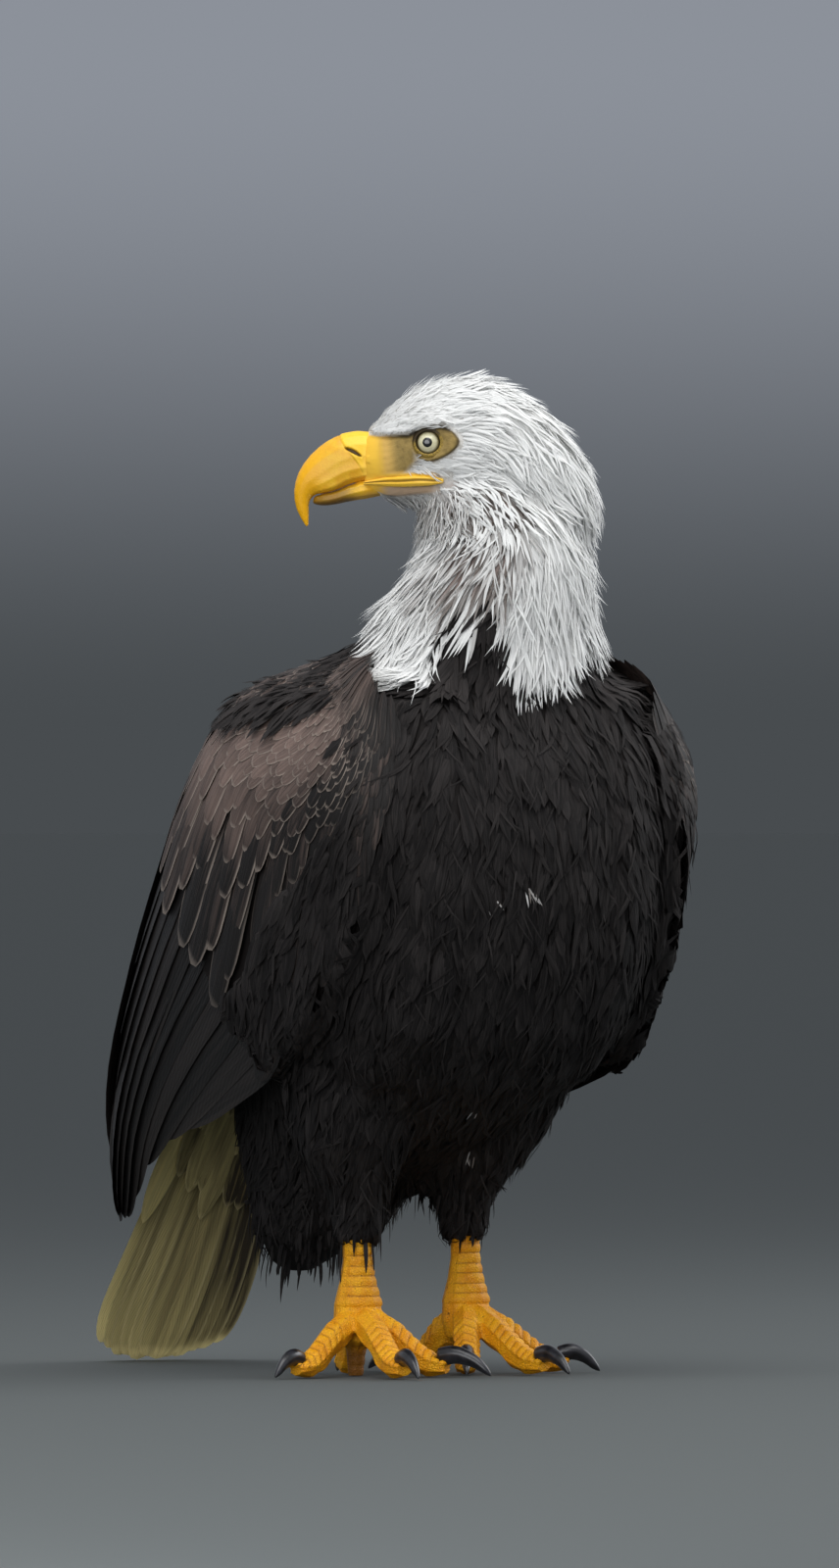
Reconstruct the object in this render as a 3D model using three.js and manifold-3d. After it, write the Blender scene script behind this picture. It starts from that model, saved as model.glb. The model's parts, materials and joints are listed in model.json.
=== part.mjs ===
// Bald eagle, an adult standing at ease on flat ground with its wings folded and its head turned over
// its right shoulder. Life size, in millimetres, +Z up. The breast faces -Y and the left wing is on +X.
// Every sub-part is a closed faceted solid out to the tips of its feathers.
import * as THREE from "three";
import { mergeVertices } from "three/addons/utils/BufferGeometryUtils.js";
import Module from "manifold-3d";

const wasm = await Module();
wasm.setup();

// Driving dimensions, before the whole bird is centred on its own footprint.
const GAP = 0.35; // left between neighbours
const HEAD_TURN = -118; // degrees about +Z, from straight ahead to over the right shoulder
const EYE_POINT = [-32, -83, 593]; // midway between the eyes
const EYE_RADIUS = 9.2;
const EYE_APART = 25.6; // from the middle of the head to the centre of one eye
const TOLERANCE = 0.12; // by which the facets that a cut leaves may be evened out
const FLOOR_BITE = 1.7; // how far a pad would press below the floor before it is cut flat

const PLUMAGE_WHITE = { color: 0xe9e8e4, roughness: 0.85 };
const PLUMAGE_DARK = { color: 0x2b2421, roughness: 0.8 };
const WING_BROWN = { color: 0x40342f, roughness: 0.8 };
const FLIGHT_DARK = { color: 0x241f1d, roughness: 0.7 };
const BILL_YELLOW = { color: 0xf0b01e, roughness: 0.4 };
const LEG_YELLOW = { color: 0xf2a81c, roughness: 0.55 };
const CLAW_BLACK = { color: 0x1d1e22, roughness: 0.3 };
const EYE_PALE = { color: 0xe8e2b4, roughness: 0.1 };

// ---- Shared geometry -------------------------------------------------------------------------

const vec = (p) => new THREE.Vector3(...p);

// A smooth curve through points, one of them at each step of 1 / (points - 1).
const rail = (points) => new THREE.CatmullRomCurve3(points.map(vec));

// The point of a curve at t, carried straight on beyond its two ends.
function pointOn(curve, t) {
  const inside = THREE.MathUtils.clamp(t, 0, 1);
  const point = curve.getPoint(inside);
  if (inside === t) return point;
  const before = curve.getPoint(inside === 0 ? 0.01 : 0.99);
  return point.addScaledVector(point.clone().sub(before), Math.abs(t - inside) / 0.01);
}

// A smooth number along t, with one value at each step of 1 / (values - 1).
function graded(values) {
  const curve = rail(values.map((value, i) => [value, i, 0]));
  return (t) => pointOn(curve, t).x;
}

// A THREE geometry as a solid, with its faces turned outwards.
function solidOf(geometry, matrix = new THREE.Matrix4()) {
  const bare = new THREE.BufferGeometry();
  bare.setIndex(geometry.index);
  bare.setAttribute("position", geometry.getAttribute("position").clone());
  bare.applyMatrix4(matrix);
  const merged = mergeVertices(bare, 1e-3);
  const triVerts = new Uint32Array(merged.index.array);
  const places = merged.getAttribute("position");
  const [a, b, c] = [new THREE.Vector3(), new THREE.Vector3(), new THREE.Vector3()];
  let volume = 0;
  for (let i = 0; i < triVerts.length; i += 3) {
    a.fromBufferAttribute(places, triVerts[i]);
    b.fromBufferAttribute(places, triVerts[i + 1]);
    c.fromBufferAttribute(places, triVerts[i + 2]);
    volume += a.dot(b.cross(c));
  }
  if (volume < 0)
    for (let i = 0; i < triVerts.length; i += 3)
      [triVerts[i + 1], triVerts[i + 2]] = [triVerts[i + 2], triVerts[i + 1]];
  return new wasm.Manifold(
    new wasm.Mesh({ numProp: 3, vertProperties: places.array, triVerts }),
  );
}

// A solid back as a geometry, in the frame of the group that will hold it.
function geometryOf(solid, frame = new THREE.Matrix4()) {
  const mesh = solid.getMesh();
  const geometry = new THREE.BufferGeometry();
  geometry.setAttribute("position", new THREE.BufferAttribute(mesh.vertProperties, 3));
  geometry.setIndex(new THREE.BufferAttribute(mesh.triVerts, 1));
  geometry.applyMatrix4(frame.clone().invert());
  geometry.computeVertexNormals();
  return geometry;
}

// A body lofted through sections. section(t) gives a centre and the two half axes of an oval, from t = 0 to 1.
// The body is a sphere's grid: its poles close the two ends. grow adds that much all round.
function loft(section, sides, rings, { grow = 0, squareness = () => 2 } = {}) {
  const geometry = new THREE.SphereGeometry(1, sides, rings);
  const places = geometry.getAttribute("position");
  for (let row = 0; row <= rings; row++) {
    const pole = row === 0 || row === rings;
    const t = THREE.MathUtils.clamp((row - 1) / (rings - 2), 0, 1);
    const { centre, across, up } = section(t);
    const soft = (value) => Math.sign(value) * Math.abs(value) ** (2 / squareness(t));
    const wide = across.clone().setLength(across.length() + grow);
    const tall = up.clone().setLength(up.length() + grow);
    const end = t === 0 ? -1 : t === 1 ? 1 : 0;
    const along = new THREE.Vector3().crossVectors(across, up).normalize();
    const near = section(THREE.MathUtils.clamp(t - end * 0.02, 0, 1)).centre;
    if (end && along.dot(centre.clone().sub(near)) < 0) along.negate();
    for (let column = 0; column <= sides; column++) {
      const turn = (2 * Math.PI * column) / sides;
      const place = centre.clone().addScaledVector(along, end ? grow : 0);
      if (!pole) {
        place.addScaledVector(wide, soft(Math.cos(turn)));
        place.addScaledVector(tall, soft(Math.sin(turn)));
      }
      places.setXYZ(row * (sides + 1) + column, place.x, place.y, place.z);
    }
  }
  return geometry;
}

// Sections hung between an upper and a lower rail, with a half width across them.
function betweenRails(upper, lower, halfWidth, acrossAxis) {
  const [top, bottom, wide] = [rail(upper), rail(lower), graded(halfWidth)];
  return (t) => {
    const [high, low] = [top.getPoint(t), bottom.getPoint(t)];
    return {
      centre: high.clone().add(low).multiplyScalar(0.5),
      across: acrossAxis.clone().multiplyScalar(Math.max(wide(t), 0.05)),
      up: high.sub(low).multiplyScalar(0.5),
    };
  };
}

// Sections square to a spine, with a half width along acrossAxis and a half height.
function alongSpine(points, halfWidth, halfHeight, acrossAxis) {
  const [spine, wide, tall] = [rail(points), graded(halfWidth), graded(halfHeight)];
  return (t) => {
    const tangent = spine.getTangent(t);
    const up = new THREE.Vector3().crossVectors(tangent, acrossAxis).normalize();
    return {
      centre: spine.getPoint(t),
      across: new THREE.Vector3().crossVectors(up, tangent).multiplyScalar(wide(t)),
      up: up.multiplyScalar(tall(t)),
    };
  };
}

// Level sections, one above another, each [x, y, z, half width, half depth].
function levelSections(stations) {
  const spine = rail(stations.map(([x, y, z]) => [x, y, z]));
  const wide = graded(stations.map((s) => s[3]));
  const deep = graded(stations.map((s) => s[4]));
  return (t) => ({
    centre: spine.getPoint(t),
    across: new THREE.Vector3(wide(t), 0, 0),
    up: new THREE.Vector3(0, deep(t), 0),
  });
}

// A curved slab over a patch of surface: place(t, s) is its middle and thick(t, s) its thickness.
function slab(place, thick, [tLow, tHigh], [sLow, sHigh], columns, rows, grow = 0) {
  const geometry = new THREE.BoxGeometry(1, 1, 1, columns, rows, 1);
  const places = geometry.getAttribute("position");
  const step = 1e-3;
  const reach = grow / 300;
  for (let i = 0; i < places.count; i++) {
    const t = THREE.MathUtils.lerp(tLow - reach, tHigh + reach, places.getX(i) + 0.5);
    const s = THREE.MathUtils.lerp(sLow - reach, sHigh + reach, places.getY(i) + 0.5);
    const alongT = place(t + step, s).sub(place(t - step, s));
    const alongS = place(t, s + step).sub(place(t, s - step));
    const out = alongT.cross(alongS).normalize();
    const lift = places.getZ(i) * (thick(t, s) + 2 * grow);
    const at = place(t, s).addScaledVector(out, lift);
    places.setXYZ(i, at.x, at.y, at.z);
  }
  return geometry;
}

const floor = solidOf(
  new THREE.BoxGeometry(1200, 1200, 100),
  new THREE.Matrix4().makeTranslation(0, 0, -50),
);

const cutBy = (solid, others) => others.reduce((left, other) => left.subtract(other), solid);

// ---- Head, turned about the neck ---------------------------------------------------------------
// In the head's own frame -Y runs forward to the bill, +X to the left eye, and the origin is between the eyes.

const headGroup = new THREE.Group();
headGroup.position.set(...EYE_POINT);
headGroup.rotation.z = THREE.MathUtils.degToRad(HEAD_TURN);
headGroup.updateMatrix();

const SIDEWAYS = new THREE.Vector3(1, 0, 0);
const profile = (points) => points.map(([forward, up]) => [0, -forward, up]);

// Upper bill: the culmen runs out over the cere and hooks down past the lower bill.
const upperBill = betweenRails(
  profile([[36.5, 7.9], [47, 7.4], [58, 5], [68, -0.6], [77.9, -10.2], [84, -20.8], [86, -32], [84, -43], [78.2, -53.4]]),
  profile([[36.5, -23.6], [45, -24.8], [52, -26.8], [58, -29.7], [66, -32], [72.5, -33], [76, -37], [76.4, -44], [76.6, -52.2]]),
  [14.6, 14.3, 13.2, 11.4, 9.4, 7.2, 5, 3.2, 0.7],
  SIDEWAYS,
);
const lowerBill = betweenRails(
  profile([[36.5, -24.8], [48, -27.3], [56, -30.9], [64, -33.4], [70, -34.6], [73.6, -36.6]]),
  profile([[36.5, -35.2], [48, -36.6], [58, -38.8], [66, -39.8], [71, -39.4], [74, -38.2]]),
  [12.4, 11.4, 9.8, 7.6, 5.2, 1.6],
  SIDEWAYS,
);
// Head from the back of the bill to the nape.
const headBody = betweenRails(
  profile([[36, 8.5], [32.5, 16.5], [20, 28.5], [0, 39.5], [-21, 43.5], [-46, 40], [-71, 26], [-93, 1], [-106, -28], [-108, -54]]),
  profile([[36, -34], [30, -35.6], [16, -38.2], [-2, -43], [-22, -51], [-45, -60], [-66, -66], [-84, -69], [-96, -69], [-102, -66]]),
  [15, 21, 28, 34, 38.5, 41, 39.5, 34, 24, 9],
  SIDEWAYS,
);

function browRidge(side) {
  const spine = [[side * 14, -34, 8], [side * 22, -22, 9.5], [side * 28.5, -8, 13.5], [side * 31.5, 6, 15], [side * 31, 18, 10]];
  return solidOf(loft(alongSpine(spine, [3, 5, 6, 6, 2], [3, 5, 5.5, 5.5, 2], new THREE.Vector3(0, 0, 1)), 6, 7));
}

// Fleshy yellow corner of the mouth, running back below the eye.
function gapeSection(side) {
  const spine = [[side * 14.5, -35.6, -25], [side * 19.6, -26, -24.6], [side * 24.6, -14, -24.3], [side * 28.6, -2, -24.2], [side * 30, 8.6, -24.4]];
  return alongSpine(spine, [3.4, 3.6, 3.6, 3.2, 1.4], [2.4, 2.6, 2.6, 2.4, 1.2], new THREE.Vector3(0, 0, 1));
}

const sphereAt = (radius, place, scale = [1, 1, 1]) =>
  solidOf(
    new THREE.SphereGeometry(radius, 12, 8),
    new THREE.Matrix4().makeTranslation(...place).scale(vec(scale)),
  );

const sides = [["left", 1], ["right", -1]];
const eyes = sides.map(([, side]) => sphereAt(EYE_RADIUS, [side * EYE_APART, 0, 0]));
const eyeRooms = sides.map(([, side]) => sphereAt(EYE_RADIUS + GAP, [side * EYE_APART, 0, 0]));
const sockets = sides.map(([, side]) => sphereAt(9.4, [side * 38, -0.5, 0], [0.9, 1.15, 0.86]));
const gapes = sides.map(([, side]) => solidOf(loft(gapeSection(side), 6, 7)));
const gapeRooms = sides.map(([, side]) => solidOf(loft(gapeSection(side), 6, 7, { grow: GAP })));
const headWhole = solidOf(loft(headBody, 20, 15));
const headPart = cutBy(
  headWhole.add(browRidge(1)).add(browRidge(-1)),
  [...eyeRooms, ...sockets, ...gapeRooms],
);
const headRoom = solidOf(loft(headBody, 20, 15, { grow: GAP }), headGroup.matrix);

// ---- Neck --------------------------------------------------------------------------------------

const neckBody = levelSections([
  [0, -84, 412, 84, 74],
  [0, -88, 440, 90, 80],
  [0, -92, 465, 80, 77],
  [1, -100, 490, 73, 71],
  [7, -109, 515, 62, 60],
  [8, -108, 540, 54, 55],
  [2, -98, 562, 46, 50],
  [0, -94, 576, 30, 34],
]);
const neckPart = cutBy(solidOf(loft(neckBody, 18, 10)), [
  headRoom,
  ...gapeRooms.map((room) => room.transform(headGroup.matrix.elements)),
]);
const neckRoom = solidOf(loft(neckBody, 18, 10, { grow: GAP }));

// ---- Wings, folded along the flanks --------------------------------------------------------------
// Each wing is a sheet from t = 0 at the bend of the wing to t = 1 at the tip, and from s = 0 along the
// back, over the corner at s = 0.5, to s = 1 at the lower edge. Rows are half width, y, z.

const WING_BACK = [[52, -66, 462], [56, -18, 458], [58, 34, 436], [55, 80, 394], [44, 119, 347], [32, 160, 300], [20, 203, 251], [13, 243, 204], [15, 273, 156], [30, 288, 110]];
const WING_CORNER = [[98, -116, 440], [117, -96, 406], [121, -6, 396], [124, 42, 364], [121, 88, 325], [115, 133, 285], [105, 180, 240], [92, 226, 190], [77, 260, 140], [60, 285, 98]];
const WING_EDGE = [[92, -154, 404], [108, -158, 342], [112, -136, 282], [117, -92, 237], [116, -42, 202], [105, 48, 175], [94, 125, 152], [82, 188, 128], [68, 240, 104], [56, 282, 84]];
// The left wing hangs a little looser, so its lower edge is this much further forward.
const LEFT_EDGE_FORWARD = [0, 0, 4, 14, 34, 36, 16, 0, 0, 0];
const WING_THICKNESS = [15, 24, 26, 24, 20, 16, 12, 9, 7, 4];

function wingSheet(side) {
  const mirrored = (points) => rail(points.map(([x, y, z]) => [side * x, y, z]));
  const looseEdge = WING_EDGE.map(([x, y, z], i) => [x, side > 0 ? y - LEFT_EDGE_FORWARD[i] : y, z]);
  const [back, corner, edge] = [WING_BACK, WING_CORNER, looseEdge].map(mirrored);
  return (t, s) => {
    const [d, k, v] = [back, corner, edge].map((curve) => pointOn(curve, t));
    const control = k.multiplyScalar(2).addScaledVector(d, -0.5).addScaledVector(v, -0.5);
    return d
      .multiplyScalar((1 - s) ** 2)
      .addScaledVector(control, 2 * s * (1 - s))
      .addScaledVector(v, s * s);
  };
}

const wingDepth = graded(WING_THICKNESS);
const wingThickness = (t, s) => wingDepth(THREE.MathUtils.clamp(t, 0, 1)) * (1 - 0.75 * (2 * s - 1) ** 4) * (1 - 0.5 * (1 - t) ** 8);
// The coverts end where the flight feathers show, and the outer of those are the primaries.
const COVERT_END = 0.47;
const PRIMARY_START = 0.62;
const SEAM = 0.0012;
const wingFields = {
  coverts: [[0.004, COVERT_END], [0, 1], 10, 8],
  secondaries: [[COVERT_END + SEAM, 0.93], [0, PRIMARY_START - 5 * SEAM], 7, 6],
  primaries: [[COVERT_END + SEAM, 0.996], [PRIMARY_START, 1], 8, 4],
};
const wingPiece = (side, field, grow = 0) =>
  solidOf(slab(wingSheet(side), wingThickness, ...wingFields[field], grow));

// ---- Tail ----------------------------------------------------------------------------------------

const tailSpine = rail([
  [0, 176, 262],
  [0, 210, 214],
  [0, 246, 162],
  [0, 280, 112],
  [0, 312, 67],
  [0, 343, 29],
  [0, 365, 1],
]);
const tailHalfWidth = graded([32, 37, 43, 49, 52, 51, 44]);
const tailDepth = graded([44, 36, 26, 18, 13, 9, 6]);

// s runs across the tail. The feathers at the sides are shorter, and lie a little in front.
function tailSheet(t, s) {
  const across = 2 * s - 1;
  const at = pointOn(tailSpine, t * (1 - 0.1 * across ** 4));
  return at.add(new THREE.Vector3(across * tailHalfWidth(t), -6 * across ** 2, 0));
}
const tailThickness = (t, s) => tailDepth(t) * (1 - 0.6 * (2 * s - 1) ** 4);
const tailSolid = (grow = 0) =>
  solidOf(slab(tailSheet, tailThickness, [0, 1], [0, 1], 9, 8, grow));
const tailPart = tailSolid().subtract(floor);

// ---- Legs: feathered thigh, bare tarsus with the sole, four toes and their claws -------------------

// Where each foot stands, and how far each toe turns outwards from straight ahead, in degrees.
const STANCE = {
  right: { side: -1, foot: [-48, -17], turns: { inner: -40, middle: 6, outer: 66, hind: 198 } },
  left: { side: 1, foot: [50, 21], turns: { inner: -28, middle: 12, outer: 60, hind: 204 } },
};

const thighSections = ({ side, foot: [x, y] }) =>
  levelSections([
    [side * 54, -22, 228, 42, 52],
    [side * 55, -18, 196, 45, 58],
    [side * 52, y * 0.4 - 14, 166, 41, 52],
    [side * 50, y * 0.6 - 5, 138, 33, 40],
    [x * 0.97, y * 0.9 + 1, 112, 21, 25],
    [x * 0.98, y + 2, 94, 14, 15.5],
    [x * 0.98, y + 2, 84, 12, 13],
  ]);
// The tarsus stands on the sole of the foot, in the foot's own frame.
const tarsusSections = levelSections([
  [0, 3, 110, 8, 8.5],
  [0, 2.5, 95, 9.5, 9.8],
  [0, 2, 74, 9.4, 9.8],
  [0, 1.5, 60, 12, 11.5],
  [0, 1, 46, 16, 14.5],
  [0, 1, 33, 16.5, 15],
  [0, 3, 17, 11, 11],
  [0, 4, -0.8, 8, 8],
]);
// Length and thickness of each toe, and the length of its claw.
const TOES = {
  inner: { length: 61, thick: 8.8, claw: 38 },
  middle: { length: 77, thick: 8.6, claw: 33 },
  outer: { length: 65, thick: 8.2, claw: 28 },
  hind: { length: 48, thick: 8.8, claw: 40 },
};

// A toe slopes down along -Y from the foot, and presses on its pads.
function toeSections({ length, thick }) {
  const pad = thick - FLOOR_BITE;
  return alongSpine(
    [[0, -2, 37], [0, -length * 0.22, 33], [0, -length * 0.4, 25], [0, -length * 0.58, 16], [0, -length * 0.78, pad + 0.8], [0, -length, pad - 0.8]],
    [thick * 1.1, thick * 1.15, thick * 1.05, thick * 0.95, thick, thick * 0.6],
    [thick * 1.1, thick * 1.2, thick * 1.1, thick, thick, thick * 0.55],
    new THREE.Vector3(1, 0, 0),
  );
}

// A claw springs from the top of the toe's end, and its point comes down to the floor.
function clawSections({ length, thick, claw }) {
  const start = -length + thick * 0.9;
  const rise = thick * 1.35;
  return alongSpine(
    [[0, start, rise], [0, start - claw * 0.33, rise + 2.6], [0, start - claw * 0.64, rise - 0.6], [0, start - claw * 0.87, rise - 6.4], [0, start - claw, 0.9]],
    [thick * 0.54, thick * 0.55, thick * 0.43, thick * 0.27, 0.5],
    [thick * 0.68, thick * 0.66, thick * 0.5, thick * 0.31, 0.5],
    new THREE.Vector3(1, 0, 0),
  );
}

function legParts(name) {
  const { side, foot: place, turns } = STANCE[name];
  const foot = new THREE.Group();
  foot.position.set(...place, 0);
  foot.updateMatrix();
  const tarsusLoft = (grow = 0) => loft(tarsusSections, 10, 9, { grow });
  add(foot, `tarsus_${name}`, solidOf(tarsusLoft()).subtract(floor), LEG_YELLOW);
  const taken = [solidOf(tarsusLoft(GAP))];
  for (const [toeName, toe] of Object.entries(TOES)) {
    const holder = new THREE.Group();
    holder.rotation.z = THREE.MathUtils.degToRad(side * turns[toeName]);
    holder.updateMatrix();
    const placed = (section, ringSides, rings, grow = 0) =>
      solidOf(loft(section, ringSides, rings, { grow }), holder.matrix);
    const claw = placed(clawSections(toe), 6, 8).subtract(floor);
    const whole = placed(toeSections(toe), 7, 8).subtract(floor);
    const toePart = cutBy(whole, [...taken, placed(clawSections(toe), 6, 8, GAP)]);
    add(holder, `toe_${toeName}_${name}`, toePart, LEG_YELLOW, holder.matrix);
    add(holder, `claw_${toeName}_${name}`, claw, CLAW_BLACK, holder.matrix);
    taken.push(placed(toeSections(toe), 7, 8, GAP));
    foot.add(holder);
  }
  bird.add(foot);
  return solidOf(tarsusLoft(GAP), foot.matrix);
}

// ---- Trunk -----------------------------------------------------------------------------------------

const trunkBody = betweenRails(
  [[0, -68, 486], [0, -24, 468], [0, 26, 434], [0, 64, 390], [0, 96, 344], [0, 124, 298], [0, 150, 254], [0, 172, 212], [0, 186, 172], [0, 187, 122], [0, 176, 74]],
  [[0, -90, 476], [0, -152, 446], [0, -180, 396], [0, -188, 335], [0, -178, 272], [0, -150, 214], [0, -100, 172], [0, -38, 144], [0, 26, 120], [0, 82, 88], [0, 154, 60]],
  [34, 90, 112, 117, 117, 111, 98, 80, 62, 44, 17],
  new THREE.Vector3(1, 0, 0),
);

// ---- Assembly --------------------------------------------------------------------------------------

const bird = new THREE.Group();
const wingNeighbours = [neckRoom, tailSolid(GAP)];

// Adds a solid to a group as a named mesh. frame is the group's own matrix where the solid isn't in it yet.
function add(group, name, solid, look, frame) {
  const mesh = new THREE.Mesh(geometryOf(solid.simplify(TOLERANCE), frame), new THREE.MeshStandardMaterial({ metalness: 0, ...look }));
  mesh.name = name;
  group.add(mesh);
}

add(headGroup, "head", headPart, PLUMAGE_WHITE);
add(headGroup, "bill_upper", solidOf(loft(upperBill, 14, 17, { squareness: () => 2.2 })), BILL_YELLOW);
add(headGroup, "bill_lower", solidOf(loft(lowerBill, 10, 9)), BILL_YELLOW);
sides.forEach(([name], i) => {
  add(headGroup, `eye_${name}`, eyes[i], EYE_PALE);
  add(headGroup, `gape_${name}`, gapes[i], BILL_YELLOW);
});
bird.add(headGroup);
add(bird, "neck", neckPart, PLUMAGE_WHITE);
add(bird, "tail", tailPart, PLUMAGE_WHITE);

const trunkTaken = [...wingNeighbours];
for (const [name, side] of sides) {
  const tarsusRoom = legParts(name);
  const wingRooms = [];
  for (const field of Object.keys(wingFields)) {
    const look = field === "coverts" ? WING_BROWN : FLIGHT_DARK;
    add(bird, `wing_${field}_${name}`, cutBy(wingPiece(side, field), wingNeighbours), look);
    wingRooms.push(wingPiece(side, field, GAP));
  }
  const thigh = solidOf(loft(thighSections(STANCE[name]), 12, 9));
  add(bird, `thigh_${name}`, cutBy(thigh, [tarsusRoom, ...wingRooms]), PLUMAGE_DARK);
  trunkTaken.push(...wingRooms, solidOf(loft(thighSections(STANCE[name]), 12, 9, { grow: GAP })));
}
const trunk = solidOf(loft(trunkBody, 22, 16, { squareness: (t) => 2.9 - 0.9 * THREE.MathUtils.smoothstep(t, 0.5, 0.9) }));
const pieces = cutBy(trunk, trunkTaken).decompose();
pieces.sort((a, b) => b.volume() - a.volume());
add(bird, "trunk", pieces[0], PLUMAGE_DARK);

// The origin is the middle of the bird's own box, on the floor.
const box = new THREE.Box3().setFromObject(bird);
bird.position.set(-(box.min.x + box.max.x) / 2, -(box.min.y + box.max.y) / 2, 0);

const eagle = new THREE.Group();
eagle.add(bird);

export default eagle;
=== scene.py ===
"""An adult bald eagle at rest with folded wings, its head turned over the right shoulder.

Everything is worked out in the bird's own millimetres, in which the breast faces -Y, +Z is up and the point between
the feet is the origin, and is moved to the frame of the solids when a mesh is made.
"""
import json
import math

import bpy
import numpy as np
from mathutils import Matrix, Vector
from mathutils.bvhtree import BVHTree
from mathutils.kdtree import KDTree

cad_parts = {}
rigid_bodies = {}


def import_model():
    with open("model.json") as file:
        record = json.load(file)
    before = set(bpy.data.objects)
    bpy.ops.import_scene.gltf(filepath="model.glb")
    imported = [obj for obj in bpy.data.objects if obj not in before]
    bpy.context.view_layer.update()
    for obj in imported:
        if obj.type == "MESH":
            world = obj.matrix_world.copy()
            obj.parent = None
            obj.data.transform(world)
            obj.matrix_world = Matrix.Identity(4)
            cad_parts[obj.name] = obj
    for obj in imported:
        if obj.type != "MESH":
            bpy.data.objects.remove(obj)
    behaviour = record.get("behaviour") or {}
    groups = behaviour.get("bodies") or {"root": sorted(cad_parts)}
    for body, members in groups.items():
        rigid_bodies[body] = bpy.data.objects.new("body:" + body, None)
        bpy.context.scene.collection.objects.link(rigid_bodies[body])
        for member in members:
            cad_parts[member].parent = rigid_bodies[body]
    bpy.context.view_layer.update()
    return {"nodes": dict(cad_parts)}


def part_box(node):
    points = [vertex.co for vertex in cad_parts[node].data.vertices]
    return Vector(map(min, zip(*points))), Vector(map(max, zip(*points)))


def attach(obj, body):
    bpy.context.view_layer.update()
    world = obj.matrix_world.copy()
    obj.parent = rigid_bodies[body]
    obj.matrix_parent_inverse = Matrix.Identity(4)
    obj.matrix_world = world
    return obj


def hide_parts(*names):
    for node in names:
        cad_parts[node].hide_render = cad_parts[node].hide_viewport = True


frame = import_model()
bpy.ops.object.select_all(action="DESELECT")

MM = 0.001
SIDES = {"left": 1, "right": -1}
COARSE = 1.0  # how much wider the small feathers are spaced
GAP_FILL = 0.4  # swells solids that stand this close together, so that they join

# ---- The bird's own frame -------------------------------------------------------------------------

EYE_POINT = np.array([-32.0, -83.0, 593.0])  # midway between the eyes
HEAD_TURN = math.radians(-118)
FORWARD = np.array([math.sin(HEAD_TURN), -math.cos(HEAD_TURN), 0.0])  # the way the bill points
LEFTWARD = np.array([math.cos(HEAD_TURN), math.sin(HEAD_TURN), 0.0])
UP = np.array([0.0, 0.0, 1.0])
FRONT = math.radians(28)  # markings on the throat and breast are placed as seen from here, right of the middle
VIEW = np.array([-math.sin(FRONT), -math.cos(FRONT), 0.0])
VIEW_RIGHT = np.array([math.cos(FRONT), -math.sin(FRONT), 0.0])


def middle_of(node):
    low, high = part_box(node)
    return np.array((low + high) / 2)


SHIFT = (middle_of("eye_left") + middle_of("eye_right")) / 2 - EYE_POINT * MM


def to_row(points):
    """Bird millimetres to metres in the frame of the solids."""
    return np.asarray(points) * MM + SHIFT


def to_bird(points):
    return (np.asarray(points) - SHIFT) / MM


def in_head(points):
    """Bird points as forward, left and up from the middle of the eyes."""
    return (points - EYE_POINT) @ np.array([FORWARD, LEFTWARD, UP]).T


def from_head(local):
    """Forward, left and up, back as bird points."""
    return np.asarray(local) @ np.array([FORWARD, LEFTWARD, UP]) + EYE_POINT


def unit(vectors):
    return vectors / np.maximum(np.linalg.norm(vectors, axis=-1, keepdims=True), 1e-9)


def ramp(value, low, high):
    """Smoothly from 0 at low to 1 at high."""
    share = np.clip((value - low) / (high - low), 0, 1)
    return share * share * (3 - 2 * share)


# ---- Materials ------------------------------------------------------------------------------------


def put(tree, kind, inputs=None, **settings):
    """A node with its settings, and each input set to a value or linked to a socket."""
    node = tree.nodes.new(kind)
    for key, value in settings.items():
        setattr(node, key, value)
    for key, value in (inputs or {}).items():
        if isinstance(value, bpy.types.NodeSocket):
            tree.links.new(value, node.inputs[key])
        else:
            node.inputs[key].default_value = value
    return node


def math_node(tree, operation, *values):
    return put(tree, "ShaderNodeMath", dict(enumerate(values)), operation=operation).outputs[0]


def painted(tree, name):
    """A number that paint gave each vertex."""
    return put(tree, "ShaderNodeAttribute", attribute_name=name).outputs["Fac"]


def noise(tree, where, scale, detail, **more):
    inputs = {"Vector": where, "Scale": float(scale), "Detail": float(detail), **more}
    return put(tree, "ShaderNodeTexNoise", inputs).outputs["Fac"]


def own_place(tree):
    return put(tree, "ShaderNodeTexCoord").outputs["Object"]


def blend(tree, factor, first, second, mode="MIX"):
    """One colour into another by a factor."""
    node = tree.nodes.new("ShaderNodeMix")
    node.data_type = "RGBA"
    node.blend_type = mode
    for socket, value in ((node.inputs[0], factor), (node.inputs[6], first), (node.inputs[7], second)):
        if isinstance(value, bpy.types.NodeSocket):
            tree.links.new(value, socket)
        else:
            socket.default_value = value
    return node.outputs[2]


def stretch(tree, value, low, high, to_low=0.0, to_high=1.0, smooth=True):
    inputs = {0: value, 1: low, 2: high, 3: to_low, 4: to_high}
    kind = "SMOOTHSTEP" if smooth else "LINEAR"
    return put(tree, "ShaderNodeMapRange", inputs, interpolation_type=kind).outputs[0]


def rgb(red, green, blue):
    """A colour given as it looks on a screen, from 0 to 255, as the linear value that a shader takes."""
    shares = (red / 255, green / 255, blue / 255)
    linear = [c / 12.92 if c < 0.04045 else ((c + 0.055) / 1.055) ** 2.4 for c in shares]
    return (*linear, 1.0)


def group(name, inputs, outputs):
    """An empty node group with its sockets, and its two end nodes."""
    tree = bpy.data.node_groups.new(name, "ShaderNodeTree")
    kinds = {"color": "NodeSocketColor", "float": "NodeSocketFloat", "vector": "NodeSocketVector"}
    for label, kind in inputs.items():
        tree.interface.new_socket(label, in_out="INPUT", socket_type=kinds[kind])
    for label, kind in outputs.items():
        tree.interface.new_socket(label, in_out="OUTPUT", socket_type=kinds[kind])
    return tree, tree.nodes.new("NodeGroupInput").outputs, tree.nodes.new("NodeGroupOutput").inputs


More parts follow.
